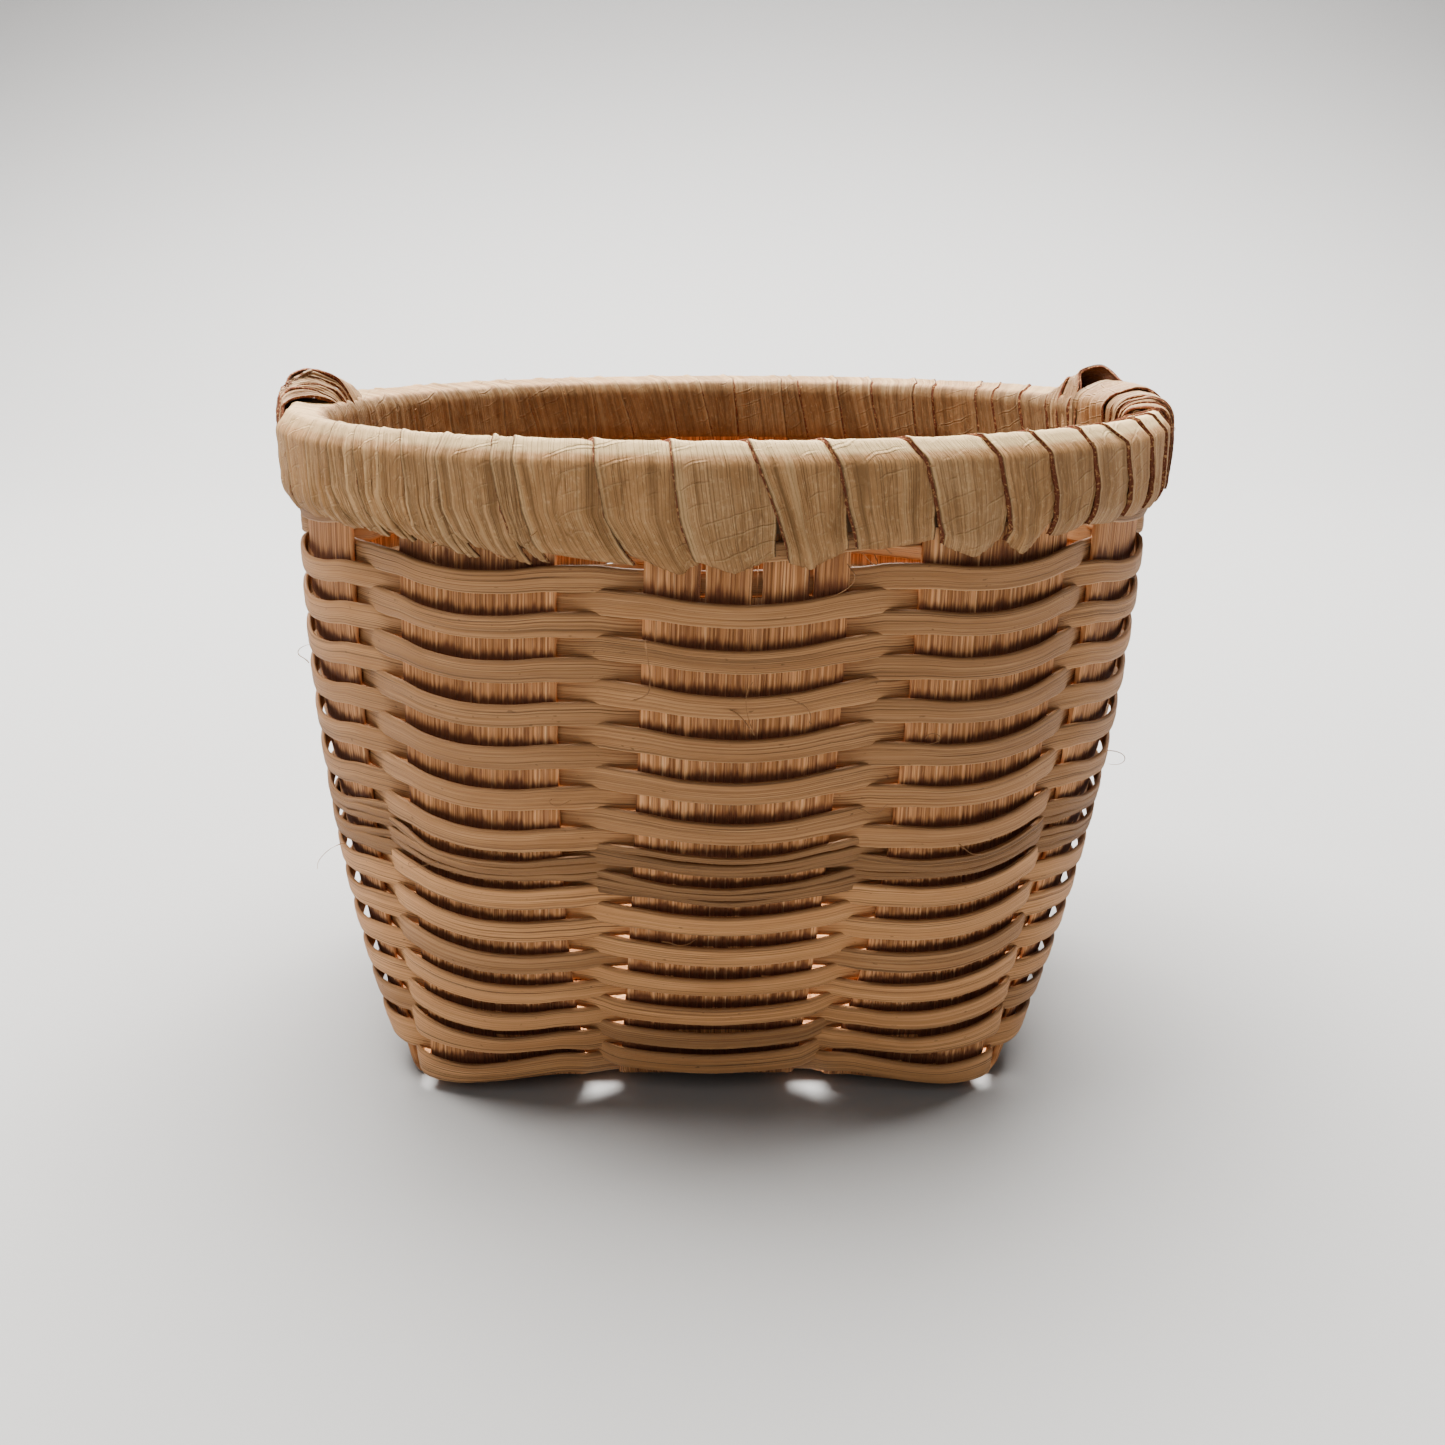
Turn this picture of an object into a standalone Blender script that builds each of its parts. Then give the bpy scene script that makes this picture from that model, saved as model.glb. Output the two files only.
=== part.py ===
"""Miniature split reed basket, woven from a square base up to a round, leaf-wrapped rim.

Metres, +Z up, the front faces -Y. The origin is on the floor, under the middle of the rim.
Six flat splints cross in the base and turn up as twelve stakes. Single reed hoops are woven
round them one above another. Two flat hoops hold the stake ends, a leaf strip in several
lengths is wound over both, and two small ears of the same leaf stand on the rim.
"""
import math

import bmesh
import bpy
from mathutils import Vector

# Rim
RIM_RADIUS = 0.0400
RIM_HEIGHT = 0.0567
RIDGE_INSET = 0.0012
SHOULDER_DROP = 0.0014
INNER_SHOULDER_DROP = 0.0006
INNER_SHOULDER_INSET = 0.0004
HOOP_HEIGHT = 0.0050
OUTER_HOOP_THICK = 0.00125
INNER_HOOP_THICK = 0.0007
HOOP_CLEAR = 0.00025
HOOP_END_GAP = 0.0006

# Leaf wrap
WRAP_THICK = 0.00045
WRAP_LAP = 0.00022
WRAP_CLEAR = 0.00012
WRAP_END_GAP = 0.00012
WRAP_STRIPS = 8
TURNS_PER_STRIP = 5
WRAP_START = math.radians(13.3)
WRAP_SLANT = 0.0018
WRAP_OUTER_DEPTH = 0.0078
WRAP_INNER_DEPTH = 0.0068
WRAP_TIP = 0.0008
TURN_STATION_SHARES = (0.0, 0.5, 0.97)

# Splints
SPLINT_THICK = 0.0005
CENTRE_WIDTH = 0.0149
WEAVE_CLEAR = 0.00012
BASE_SLOT = 0.0024
FRONT_RIM_SLOT = 0.00625
SIDE_RIM_SLOT = 0.00275
CORNER_BASE_SLOT = 0.0026
CORNER_RIM_SLOT = 0.0046
FRONT_DRIFT = 0.0013
CENTRE_DRIFT = 0.0005
STAKE_TOP_DROP = 0.0014
SPLINT_BEND = 0.0008
WALL_STATIONS = 12
STATION_SPREAD_POWER = 1.3

# Slits in the top of the front stake
SLIT_WIDTH = 0.0004
SLIT_DEPTH = 0.0099
SLIT_SHARES = (-0.45, 0.08, 0.62)
CUT_OVERRUN = 0.0010

# Base and wall
BASE_WIDTH = 0.0530
CORNER_ROUND = 0.0030
BASE_DOME = 0.0012
DOME_EDGE_SHARE = 0.3
UPRIGHT_BELOW_HOOP = 0.00018
WALL_CURVE_POWER = 2.15
CORNER_FADE_POWER = 2.2
BASE_LEAN = 0.0017

# Weavers
ROW_COUNT = 30
WEAVER_THICK = 0.00042
WEAVER_FILL_SHARE = 0.88
ROW_ZONE_SHARES = ((0.172, 0.82), (0.414, 0.98), (0.552, 0.84), (0.966, 1.12), (1.0, 1.72))
WEAVER_BOW = 0.00055
FIRST_ROW_ROOM = 0.0031
TOP_ROW_ROOM = 0.00035
ROW_DIP = 0.0006
ROW_LIFT = 0.0001
CORNER_DROP = 0.0019
CORNER_DROP_POWER = 6
CORNER_DROP_FADE_SHARE = 0.5
OVER_POINTS = 5
LAP_END_SHARE = 0.85
DARK_ROW_SHARES = (0.45, 0.48, 0.52)

# Ears
EAR_WIDTH = 0.0030
EAR_FOOT_WIDTH = 0.0016
EAR_THICK = 0.0007
EAR_HEIGHT = 0.0014
EAR_CLEAR = 0.0002
EAR_RIGHT_START = math.radians(79)
EAR_RIGHT_END = math.radians(113)
EAR_LEFT_START = math.radians(-107)
EAR_LEFT_END = math.radians(-74)
EAR_RIGHT_CREST_SHARE = 0.66
EAR_LEFT_CREST_SHARE = 0.52
EAR_STATIONS = 13
EAR_TILT = math.radians(16)

HOOP_STATIONS = 72
SLOPE_STEP = 0.0002
QUARTER = math.pi / 2
STAKES = 12

# Worked out from the sizes above
WEAVE_OFFSET = (SPLINT_THICK + WEAVER_THICK) / 2 + WEAVE_CLEAR
BASE_LAYER = (SPLINT_THICK + WEAVE_CLEAR) / 2
BASE_STACK = 2 * SPLINT_THICK + WEAVE_CLEAR
WALL_RADIUS = (RIM_RADIUS - WRAP_THICK - WRAP_CLEAR - OUTER_HOOP_THICK - HOOP_CLEAR
               - SPLINT_THICK / 2)
INNER_RADIUS = (WALL_RADIUS - SPLINT_THICK / 2 - HOOP_CLEAR - INNER_HOOP_THICK - WRAP_CLEAR
                - WRAP_THICK)
BASE_HALF = BASE_WIDTH / 2 - WEAVE_OFFSET - WEAVER_BOW - WEAVER_THICK / 2
HOOP_TOP = RIM_HEIGHT - SHOULDER_DROP - WRAP_CLEAR
HOOP_BOTTOM = HOOP_TOP - HOOP_HEIGHT
WALL_UPRIGHT = HOOP_BOTTOM - UPRIGHT_BELOW_HOOP
DARK_ROWS = [round(share * (ROW_COUNT - 1)) for share in DARK_ROW_SHARES]
STAKE_TOP = RIM_HEIGHT - STAKE_TOP_DROP
FIRST_ROW = BASE_STACK + FIRST_ROW_ROOM


def material(name, colour, roughness):
    made = bpy.data.materials.new(name)
    made.use_nodes = True
    shader = made.node_tree.nodes["Principled BSDF"]
    shader.inputs["Base Color"].default_value = (*colour, 1.0)
    shader.inputs["Roughness"].default_value = roughness
    shader.inputs["Metallic"].default_value = 0.0
    return made


def loft(name, rings, finish, parent):
    """One closed solid through rings of points, each ring in the same order."""
    shell = bmesh.new()
    rows = [[shell.verts.new(point) for point in ring] for ring in rings]
    for low, high in zip(rows, rows[1:]):
        for here, point in enumerate(low):
            after = (here + 1) % len(low)
            shell.faces.new((point, low[after], high[after], high[here]))
    shell.faces.new(reversed(rows[0]))
    shell.faces.new(rows[-1])
    bmesh.ops.recalc_face_normals(shell, faces=shell.faces[:])
    bmesh.ops.triangulate(shell, faces=shell.faces[:])
    mesh = bpy.data.meshes.new(name)
    shell.to_mesh(mesh)
    shell.free()
    mesh.materials.append(finish)
    made = bpy.data.objects.new(name, mesh)
    bpy.context.collection.objects.link(made)
    made.parent = parent
    return made


def rise(height):
    """0 at the floor, 1 where the wall stands upright."""
    return min(max(height / WALL_UPRIGHT, 0.0), 1.0)


def side_half(height):
    """Half the width of the wall's section, square to a side."""
    return WALL_RADIUS - (WALL_RADIUS - BASE_HALF) * (1 - rise(height)) ** WALL_CURVE_POWER


def flat_half(height):
    """Half the straight stretch of a side, which has gone where the section is a circle."""
    return (BASE_HALF - CORNER_ROUND) * (1 - rise(height)) ** CORNER_FADE_POWER


def half_run(height):
    """Length along the section from the middle of a side to the middle of a corner."""
    flat = flat_half(height)
    return flat + (side_half(height) - flat) * math.pi / 4


def perimeter_share(height):
    """How much of its growth the section's perimeter has behind it."""
    return (half_run(height) - half_run(0.0)) / (half_run(WALL_UPRIGHT) - half_run(0.0))


def section(lateral, height):
    """Place and outward direction on one side's section, each as lateral and outward parts."""
    flat = flat_half(height)
    bend = side_half(height) - flat
    along = abs(lateral)
    if along <= flat:
        return lateral, flat + bend, 0.0, 1.0
    turn = (along - flat) / bend
    sign = math.copysign(1.0, lateral)
    place = sign * (flat + bend * math.sin(turn)), flat + bend * math.cos(turn)
    return *place, sign * math.sin(turn), math.cos(turn)


def turned(side, lateral, outward):
    """A side's own directions in the basket's: side 0 is the front, 1 the right."""
    angle = side * QUARTER
    return Vector((lateral * math.cos(angle) + outward * math.sin(angle),
                   lateral * math.sin(angle) - outward * math.cos(angle), 0.0))


def lean_shift(height):
    return Vector((-BASE_LEAN * (1 - rise(height)), 0.0, 0.0))


def wall_frame(side, lateral, height):
    """Point, outward normal and upward direction on the middle of the stakes' wall."""
    x, y, normal_x, normal_y = section(lateral, height)
    above = height + SLOPE_STEP
    stretched = lateral * half_run(above) / half_run(height)
    above_x, above_y, _, _ = section(stretched, above)
    slope = ((above_x - x) * normal_x + (above_y - y) * normal_y) / SLOPE_STEP
    across = turned(side, normal_x, normal_y)
    point = turned(side, x, y) + lean_shift(height) + Vector((0.0, 0.0, height))
    normal = (across - Vector((0.0, 0.0, slope))).normalized()
    upward = (across * slope + Vector((0.0, 0.0, 1.0))).normalized()
    return point, normal, upward


def stake_side(stake):
    """Side and place of a stake: place -1, 0 or 1 along its side."""
    return (stake + 1) // 3 % 4, (stake + 1) % 3 - 1


def between(low, high, share):
    return low + (high - low) * share


def slots(side, height):
    """Gap beside the centre stake, and gap to the corner, at a height."""
    share = perimeter_share(height)
    rim_slot = SIDE_RIM_SLOT if side % 2 else FRONT_RIM_SLOT
    return between(BASE_SLOT, rim_slot, share), share


def side_width(height):
    """Width of the outer splints, which fill what the slots leave of the perimeter."""
    share = perimeter_share(height)
    slot_sum = 2 * BASE_SLOT
    rim_sum = FRONT_RIM_SLOT + SIDE_RIM_SLOT
    corner = between(CORNER_BASE_SLOT, CORNER_RIM_SLOT + FRONT_DRIFT, share)
    used = CENTRE_WIDTH + between(slot_sum, rim_sum, share) + corner
    return (2 * half_run(height) - used) / 2


def stake_edges(side, place, height):
    """Lateral places of a stake's two edges along its side's section."""
    slot, share = slots(side, height)
    drift = FRONT_DRIFT * share if side == 0 else 0.0
    if place == 0:
        drift += CENTRE_DRIFT * share if side == 0 else 0.0
        return drift - CENTRE_WIDTH / 2, drift + CENTRE_WIDTH / 2
    inner = CENTRE_WIDTH / 2 + slot
    outer = inner + side_width(height)
    low, high = sorted((place * inner, place * outer))
    return low + drift, high + drift


def dome_share(distance):
    """How flat the base lies at a distance from the middle line: 1 in the corner patches."""
    inner = CENTRE_WIDTH / 2 + BASE_SLOT
    middle = inner + side_width(0.0) / 2
    if distance <= CENTRE_WIDTH / 2:
        return 0.0
    if distance <= inner:
        return DOME_EDGE_SHARE * (distance - CENTRE_WIDTH / 2) / BASE_SLOT
    return min(1.0, between(DOME_EDGE_SHARE, 1.0, (distance - inner) / (middle - inner)))


def base_height(x, y, layer):
    """Middle of a splint in the base, one layer above or below the other set."""
    dome = BASE_DOME * (1 - dome_share(abs(x)) * dome_share(abs(y)))
    return SPLINT_THICK / 2 + BASE_LAYER + dome + layer * BASE_LAYER


def splint_columns(place, height=0.0):
    low, high = stake_edges(1, place, height)
    return low, (low + high) / 2, high


def base_stations():
    """Distances along a splint where it crosses the others' edges, from the middle out."""
    inner = CENTRE_WIDTH / 2 + BASE_SLOT
    width = side_width(0.0)
    return [CENTRE_WIDTH / 2, inner, inner + width / 2, inner + width]


def splint_layer(place, along_x, distance):
    """1 where this splint lies on top of the one it crosses, -1 where it lies under it."""
    crossed = 0 if distance <= CENTRE_WIDTH / 2 + BASE_SLOT / 2 else 1
    across_on_top = (place + crossed) % 2 == 0
    return 1 if across_on_top != along_x else -1


def base_point(along_x, column, distance, level):
    shift = lean_shift(0.0)
    if along_x:
        return Vector((distance, column, level)) + shift
    return Vector((column, distance, level)) + shift


def splint_rings(place, along_x):
    """Rings of one splint from its top on one side, through the base, to its other top."""
    near, far = (3, 1) if along_x else (0, 2)
    columns = splint_columns(place)
    rings = []
    half = SPLINT_THICK / 2
    down = Vector((0.0, 0.0, -1.0))

    def add_ring(frames):
        outside = [point + normal * half for point, normal in frames]
        inside = [point - normal * half for point, normal in reversed(frames)]
        rings.append(outside + inside)

    def wall_side(side):
        """Wall stations from the bend upwards, then the bend and the end of the base run."""
        mirrored = side in (2, 3)
        own_place = -place if mirrored else place
        layer = splint_layer(place, along_x, BASE_HALF)
        levels = [base_height(*((BASE_HALF, column) if along_x else (column, BASE_HALF)), layer)
                  for column in columns]
        first = levels[1] + SPLINT_BEND
        stations = []
        for step in range(WALL_STATIONS + 1):
            share = (step / WALL_STATIONS) ** STATION_SPREAD_POWER
            height = between(first, STAKE_TOP, share)
            low, high = stake_edges(side, own_place, height)
            laterals = [low, (low + high) / 2, high]
            if mirrored:
                laterals.reverse()
            stations.append([wall_frame(side, lateral, height)[:2] for lateral in laterals])
        ends, bends = [], []
        sign = 1.0 if side in (1, 2) else -1.0
        for column, level, (point, normal) in zip(columns, levels, stations[0]):
            end = base_point(along_x, column, sign * (BASE_HALF - SPLINT_BEND), level)
            lateral = -column if mirrored else column
            knee = wall_frame(side, lateral, level)[0]
            ends.append((end, down))
            bends.append(((end + knee * 2 + point) / 4, (down + normal).normalized()))
        return stations, bends, ends

    near_stations, near_bends, near_ends = wall_side(near)
    far_stations, far_bends, far_ends = wall_side(far)
    for frames in reversed(near_stations):
        add_ring(frames)
    add_ring(near_bends)
    add_ring(near_ends)
    distances = base_stations()
    for distance in [-d for d in reversed(distances)] + [0.0] + distances:
        layer = splint_layer(place, along_x, abs(distance))
        frames = []
        for column in columns:
            x, y = (distance, column) if along_x else (column, distance)
            level = base_height(x, y, layer)
            frames.append((base_point(along_x, column, distance, level), down))
        add_ring(frames)
    add_ring(far_ends)
    add_ring(far_bends)
    for frames in far_stations:
        add_ring(frames)
    return rings


def cut_slits(splint, parent):
    """Open slits from the top edge of the front stake, where the leaf passes through."""
    low, high = stake_edges(0, 0, STAKE_TOP)
    middle, half = (low + high) / 2, (high - low) / 2
    for number, share in enumerate(SLIT_SHARES, 1):
        point, normal, _ = wall_frame(0, middle + share * half, STAKE_TOP)
        bpy.ops.mesh.primitive_cube_add(size=1.0)
        cutter = bpy.context.active_object
        cutter.name = f"slit_cutter_{number}"
        cutter.scale = (SLIT_WIDTH, SPLINT_THICK + 2 * CUT_OVERRUN, 2 * SLIT_DEPTH)
        cutter.rotation_euler = (0.0, 0.0, math.atan2(-normal.x, normal.y))
        cutter.location = point
        cutter.parent = parent
        cutter.hide_render = True
        cutter.display_type = "WIRE"
        cut = splint.modifiers.new(f"slit_{number}", "BOOLEAN")
        cut.operation = "DIFFERENCE"
        cut.solver = "EXACT"
        cut.object = cutter


def row_share(row):
    return row / (ROW_COUNT - 1)


def row_span():
    """Height from the first row to the last, which ends just under the outer hoop."""
    top_half = (HOOP_BOTTOM - FIRST_ROW) / (ROW_COUNT - 1) / 2
    return HOOP_BOTTOM - TOP_ROW_ROOM - top_half - FIRST_ROW


def row_spread(share):
    """Share of the rows, each zone of them stretched by how openly its rows are packed."""
    spread, start = 0.0, 0.0
    for end, pitch_share in ROW_ZONE_SHARES:
        spread += (min(max(share, start), end) - start) * pitch_share
        start = end
    return spread


def row_level(row):
    return FIRST_ROW + row_span() * row_spread(row_share(row)) / row_spread(1.0)


def row_width(row):
    """A strand fills most of the closest room between the rows around it."""
    levels = [row_level(other) for other in range(max(row - 2, 0), min(row + 2, ROW_COUNT))]
    return WEAVER_FILL_SHARE * min(high - low for low, high in zip(levels, levels[1:]))


def passes_front(row, stake):
    return (row + stake) % 2 == 1


def row_height(row, lateral, level, weight):
    """Height of a row at a place: it sags in front of a stake and drops at the corners."""
    corner = math.sin(min(abs(lateral) / half_run(level), 2.0) * QUARTER) ** CORNER_DROP_POWER
    drop = CORNER_DROP * CORNER_DROP_FADE_SHARE ** row * corner
    return level - ROW_DIP * max(weight, 0.0) + ROW_LIFT * max(-weight, 0.0) - drop


def row_places(row, stake, layer_drop=0.0):
    """Side, lateral, height and offset of a row's points at one stake."""
    side, place = stake_side(stake)
    level = row_level(row)
    low, high = stake_edges(side, place, level)
    front = passes_front(row, stake)
    count = OVER_POINTS if front else 2
    made = []
    for step in range(count):
        share = step / (count - 1)
        swell = math.sin(math.pi * share)
        lateral = between(low, high, share)
        weight = swell if front else -1.0
        offset = WEAVE_OFFSET + WEAVER_BOW * swell if front else -WEAVE_OFFSET - layer_drop
        made.append((side, lateral, row_height(row, lateral, level, weight), offset))
    return made


def corner_place(row, stake):
    """The crossing point in the gap that follows a stake at a corner, on the wall itself."""
    side, place = stake_side(stake)
    level = row_level(row)
    edge = stake_edges(side, place, level)[1]
    next_edge = stake_edges(*stake_side((stake + 1) % STAKES), level)[0]
    lateral = (edge + 2 * half_run(level) + next_edge) / 2
    return side, lateral, row_height(row, lateral, level, 0.0), 0.0


def weaver_start(row):
    """The back stake behind which a row starts and ends, staggered from row to row."""
    choices = (8, 6, 4) if row % 2 == 0 else (7, 5)
    return choices[row // 2 % len(choices)]


def weaver_rings(row):
    start = weaver_start(row)
    places = []
    for step in range(STAKES):
        stake = (start + step) % STAKES
        places += row_places(row, stake)
        if stake_side(stake)[1] == 1:
            places.append(corner_place(row, stake))
    lap = row_places(row, start, WEAVER_THICK + WEAVE_CLEAR)
    side, first_lateral, first_height, offset = lap[0]
    lap[1] = (side, between(first_lateral, lap[1][1], LAP_END_SHARE), lap[1][2], offset)
    places += lap
    frames = []
    for side, lateral, height, offset in places:
        point, normal, upward = wall_frame(side, lateral, height)
        frames.append((point + normal * offset, normal, upward))
    return strip_rings(frames, [row_width(row)] * len(frames), WEAVER_THICK)


def strip_rings(frames, widths, thick):
    """Four-cornered rings of a flat strip: each frame is a point, its normal and its upward way."""
    rings = []
    for number, ((point, normal, upward), width) in enumerate(zip(frames, widths)):
        before = frames[max(number - 1, 0)][0]
        after = frames[min(number + 1, len(frames) - 1)][0]
        across = upward.cross(after - before).normalized()
        if across.dot(normal) < 0:
            across = -across
        up, out = upward * width / 2, across * thick / 2
        rings.append([point - up - out, point - up + out, point + up + out, point + up - out])
    return rings


def hoop_rings(radius, thick, start_angle):
    """A flat hoop with butted ends, standing on edge."""
    gap = HOOP_END_GAP / radius
    frames = []
    for step in range(HOOP_STATIONS + 1):
        angle = start_angle + gap / 2 + (2 * math.pi - gap) * step / HOOP_STATIONS
        normal = Vector((math.sin(angle), -math.cos(angle), 0.0))
        point = normal * radius + Vector((0.0, 0.0, (HOOP_BOTTOM + HOOP_TOP) / 2))
        frames.append((point, normal, Vector((0.0, 0.0, 1.0))))
    return strip_rings(frames, [HOOP_HEIGHT] * len(frames), thick)


def wrap_outline(share):
    """Outside and inside of the leaf over the rim: radius, height, at a share of one turn."""
    sunk = WRAP_LAP * share
    tip = WRAP_TIP * math.sin(math.pi * share)
    outer = RIM_RADIUS - sunk
    inner = INNER_RADIUS + sunk
    ridge = RIM_RADIUS - RIDGE_INSET
    outside = [
        (outer, RIM_HEIGHT - WRAP_OUTER_DEPTH - tip),
        (outer, RIM_HEIGHT - SHOULDER_DROP),
        (ridge, RIM_HEIGHT - sunk),
        (inner + INNER_SHOULDER_INSET, RIM_HEIGHT - INNER_SHOULDER_DROP - sunk),
        (inner, HOOP_TOP + WRAP_CLEAR),
        (inner, RIM_HEIGHT - WRAP_INNER_DEPTH),
    ]
    inside = [
        (INNER_RADIUS + WRAP_THICK, RIM_HEIGHT - WRAP_INNER_DEPTH),
        (INNER_RADIUS + WRAP_THICK, HOOP_TOP + WRAP_CLEAR),
        (INNER_RADIUS + WRAP_THICK + INNER_SHOULDER_INSET,
         RIM_HEIGHT - INNER_SHOULDER_DROP - WRAP_THICK),
        (ridge, RIM_HEIGHT - WRAP_THICK),
        (RIM_RADIUS - WRAP_THICK, RIM_HEIGHT - SHOULDER_DROP),
        (RIM_RADIUS - WRAP_THICK, RIM_HEIGHT - WRAP_OUTER_DEPTH - tip),
    ]
    return outside + inside


def wrap_rings(strip):
    """One length of leaf: each turn starts proud and ends tucked under the next."""
    turn_angle = 2 * math.pi / (WRAP_STRIPS * TURNS_PER_STRIP)
    usable = 1 - WRAP_END_GAP / (RIM_RADIUS * turn_angle * TURNS_PER_STRIP)
    rings = []
    for turn in range(TURNS_PER_STRIP):
        for share in TURN_STATION_SHARES:
            progress = (turn + share) * turn_angle * usable
            angle = WRAP_START + strip * TURNS_PER_STRIP * turn_angle + progress
            ring = []
            for radius, height in wrap_outline(share):
                side = 1.0 if radius > WALL_RADIUS else -1.0
                slant = side * WRAP_SLANT * (RIM_HEIGHT - height) / WRAP_OUTER_DEPTH / RIM_RADIUS
                here = angle + slant
                ring.append(Vector((radius * math.sin(here), -radius * math.cos(here), height)))
            rings.append(ring)
    return rings


def ear_rings(start, end, crest_share):
    """An arched loop of leaf, broad at its crest, with both narrow feet on the wrap."""
    frames, widths = [], []
    radius = (RIM_RADIUS - RIDGE_INSET + INNER_RADIUS + WRAP_THICK) / 2
    skew = math.log(1 / 2) / math.log(crest_share)
    up = Vector((0.0, 0.0, 1.0))
    for step in range(EAR_STATIONS):
        share = step / (EAR_STATIONS - 1)
        angle = between(start, end, share)
        outward = Vector((math.sin(angle), -math.cos(angle), 0.0))
        arch = math.sin(math.pi * share ** skew)
        height = RIM_HEIGHT + EAR_CLEAR + EAR_THICK / 2 + EAR_HEIGHT * arch
        tilt = EAR_TILT * math.sin(2 * math.pi * share) * arch
        frames.append((outward * radius + up * height, up, outward * math.cos(tilt)
                       + up * math.sin(tilt)))
        widths.append(between(EAR_FOOT_WIDTH, EAR_WIDTH, arch))
    return strip_rings(frames, widths, EAR_THICK)


def build():
    for old in list(bpy.data.objects):
        bpy.data.objects.remove(old, do_unlink=True)
    basket = bpy.data.objects.new("basket", None)
    bpy.context.collection.objects.link(basket)

    reed_splint = material("reed_splint", (0.50, 0.31, 0.12), 0.75)
    reed_weaver = material("reed_weaver", (0.66, 0.46, 0.27), 0.62)
    dark_weaver = material("dark_weaver", (0.50, 0.34, 0.19), 0.68)
    hoop_reed = material("hoop_reed", (0.60, 0.43, 0.24), 0.7)
    rim_leaf = material("rim_leaf", (0.69, 0.55, 0.37), 0.7)
    ear_leaf = material("ear_leaf", (0.52, 0.38, 0.22), 0.75)

    for place, name in zip((-1, 0, 1), ("left", "middle", "right")):
        splint = loft(f"splint_front_back_{name}", splint_rings(place, False), reed_splint, basket)
        if place == 0:
            cut_slits(splint, basket)
    for place, name in zip((-1, 0, 1), ("front", "middle", "back")):
        loft(f"splint_left_right_{name}", splint_rings(place, True), reed_splint, basket)

    for row in range(ROW_COUNT):
        finish = dark_weaver if row in DARK_ROWS else reed_weaver
        loft(f"weaver_{row + 1:02d}", weaver_rings(row), finish, basket)

    outer_middle = WALL_RADIUS + SPLINT_THICK / 2 + HOOP_CLEAR + OUTER_HOOP_THICK / 2
    inner_middle = WALL_RADIUS - SPLINT_THICK / 2 - HOOP_CLEAR - INNER_HOOP_THICK / 2
    loft("rim_hoop_outer", hoop_rings(outer_middle, OUTER_HOOP_THICK, math.pi), hoop_reed, basket)
    loft("rim_hoop_inner", hoop_rings(inner_middle, INNER_HOOP_THICK, -QUARTER), hoop_reed, basket)
    for strip in range(WRAP_STRIPS):
        loft(f"rim_wrap_{strip + 1}", wrap_rings(strip), rim_leaf, basket)
    right_ear = ear_rings(EAR_RIGHT_START, EAR_RIGHT_END, EAR_RIGHT_CREST_SHARE)
    left_ear = ear_rings(EAR_LEFT_START, EAR_LEFT_END, EAR_LEFT_CREST_SHARE)
    loft("ear_right", right_ear, ear_leaf, basket)
    loft("ear_left", left_ear, ear_leaf, basket)


build()
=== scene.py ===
"""Looks of the miniature split reed basket, laid out as a Blender add-on and run as a script."""
import math
from functools import cache

import bmesh
import bpy
import numpy as np
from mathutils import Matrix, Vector, noise


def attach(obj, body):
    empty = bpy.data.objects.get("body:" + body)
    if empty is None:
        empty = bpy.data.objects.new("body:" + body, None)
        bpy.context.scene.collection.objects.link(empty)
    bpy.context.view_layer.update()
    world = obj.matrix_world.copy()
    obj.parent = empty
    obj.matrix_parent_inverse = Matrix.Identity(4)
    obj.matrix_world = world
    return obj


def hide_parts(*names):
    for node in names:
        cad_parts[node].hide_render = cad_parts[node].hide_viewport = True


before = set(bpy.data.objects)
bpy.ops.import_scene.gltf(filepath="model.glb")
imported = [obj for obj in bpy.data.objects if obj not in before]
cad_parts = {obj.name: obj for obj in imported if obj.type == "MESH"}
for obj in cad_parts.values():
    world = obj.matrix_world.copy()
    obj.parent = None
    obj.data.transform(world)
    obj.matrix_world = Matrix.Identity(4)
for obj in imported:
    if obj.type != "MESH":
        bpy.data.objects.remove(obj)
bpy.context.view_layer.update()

bl_info = {
    "name": "Split Reed Basket",
    "version": (1, 0, 0),
    "blender": (4, 5, 0),
    "location": "View3D > Sidebar > Basket",
    "description": "Adds the fibres, grain and leaf of a miniature split reed basket",
    "category": "Object",
}

# Rim
RIM_RADIUS = 0.0400
RIM_HEIGHT = 0.0567
RIDGE_INSET = 0.0012
SHOULDER_DROP = 0.0014
INNER_SHOULDER_DROP = 0.0006
INNER_SHOULDER_INSET = 0.0004
HOOP_HEIGHT = 0.0050
OUTER_HOOP_THICK = 0.00125
INNER_HOOP_THICK = 0.0007
HOOP_CLEAR = 0.00025

# Leaf wrap
WRAP_THICK = 0.00045
WRAP_CLEAR = 0.00012
WRAP_STRIPS = 8
WRAP_START = math.radians(13.3)
WRAP_OUTER_DEPTH = 0.0078
WRAP_INNER_DEPTH = 0.0068

# Splints
SPLINT_THICK = 0.0005
CENTRE_WIDTH = 0.0149
WEAVE_CLEAR = 0.00012
BASE_SLOT = 0.0024
FRONT_RIM_SLOT = 0.00625
SIDE_RIM_SLOT = 0.00275
CORNER_BASE_SLOT = 0.0026
CORNER_RIM_SLOT = 0.0046
FRONT_DRIFT = 0.0013
CENTRE_DRIFT = 0.0005
STAKE_TOP_DROP = 0.0014
SPLINT_BEND = 0.0008
SLIT_DEPTH = 0.0099
SLIT_SHARES = (-0.45, 0.06, 0.11, 0.62)
# Reach of the darkening along the slits of the front stake: stain and painted shade.
SLIT_STAIN_AND_SHADE = 0.0007

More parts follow.
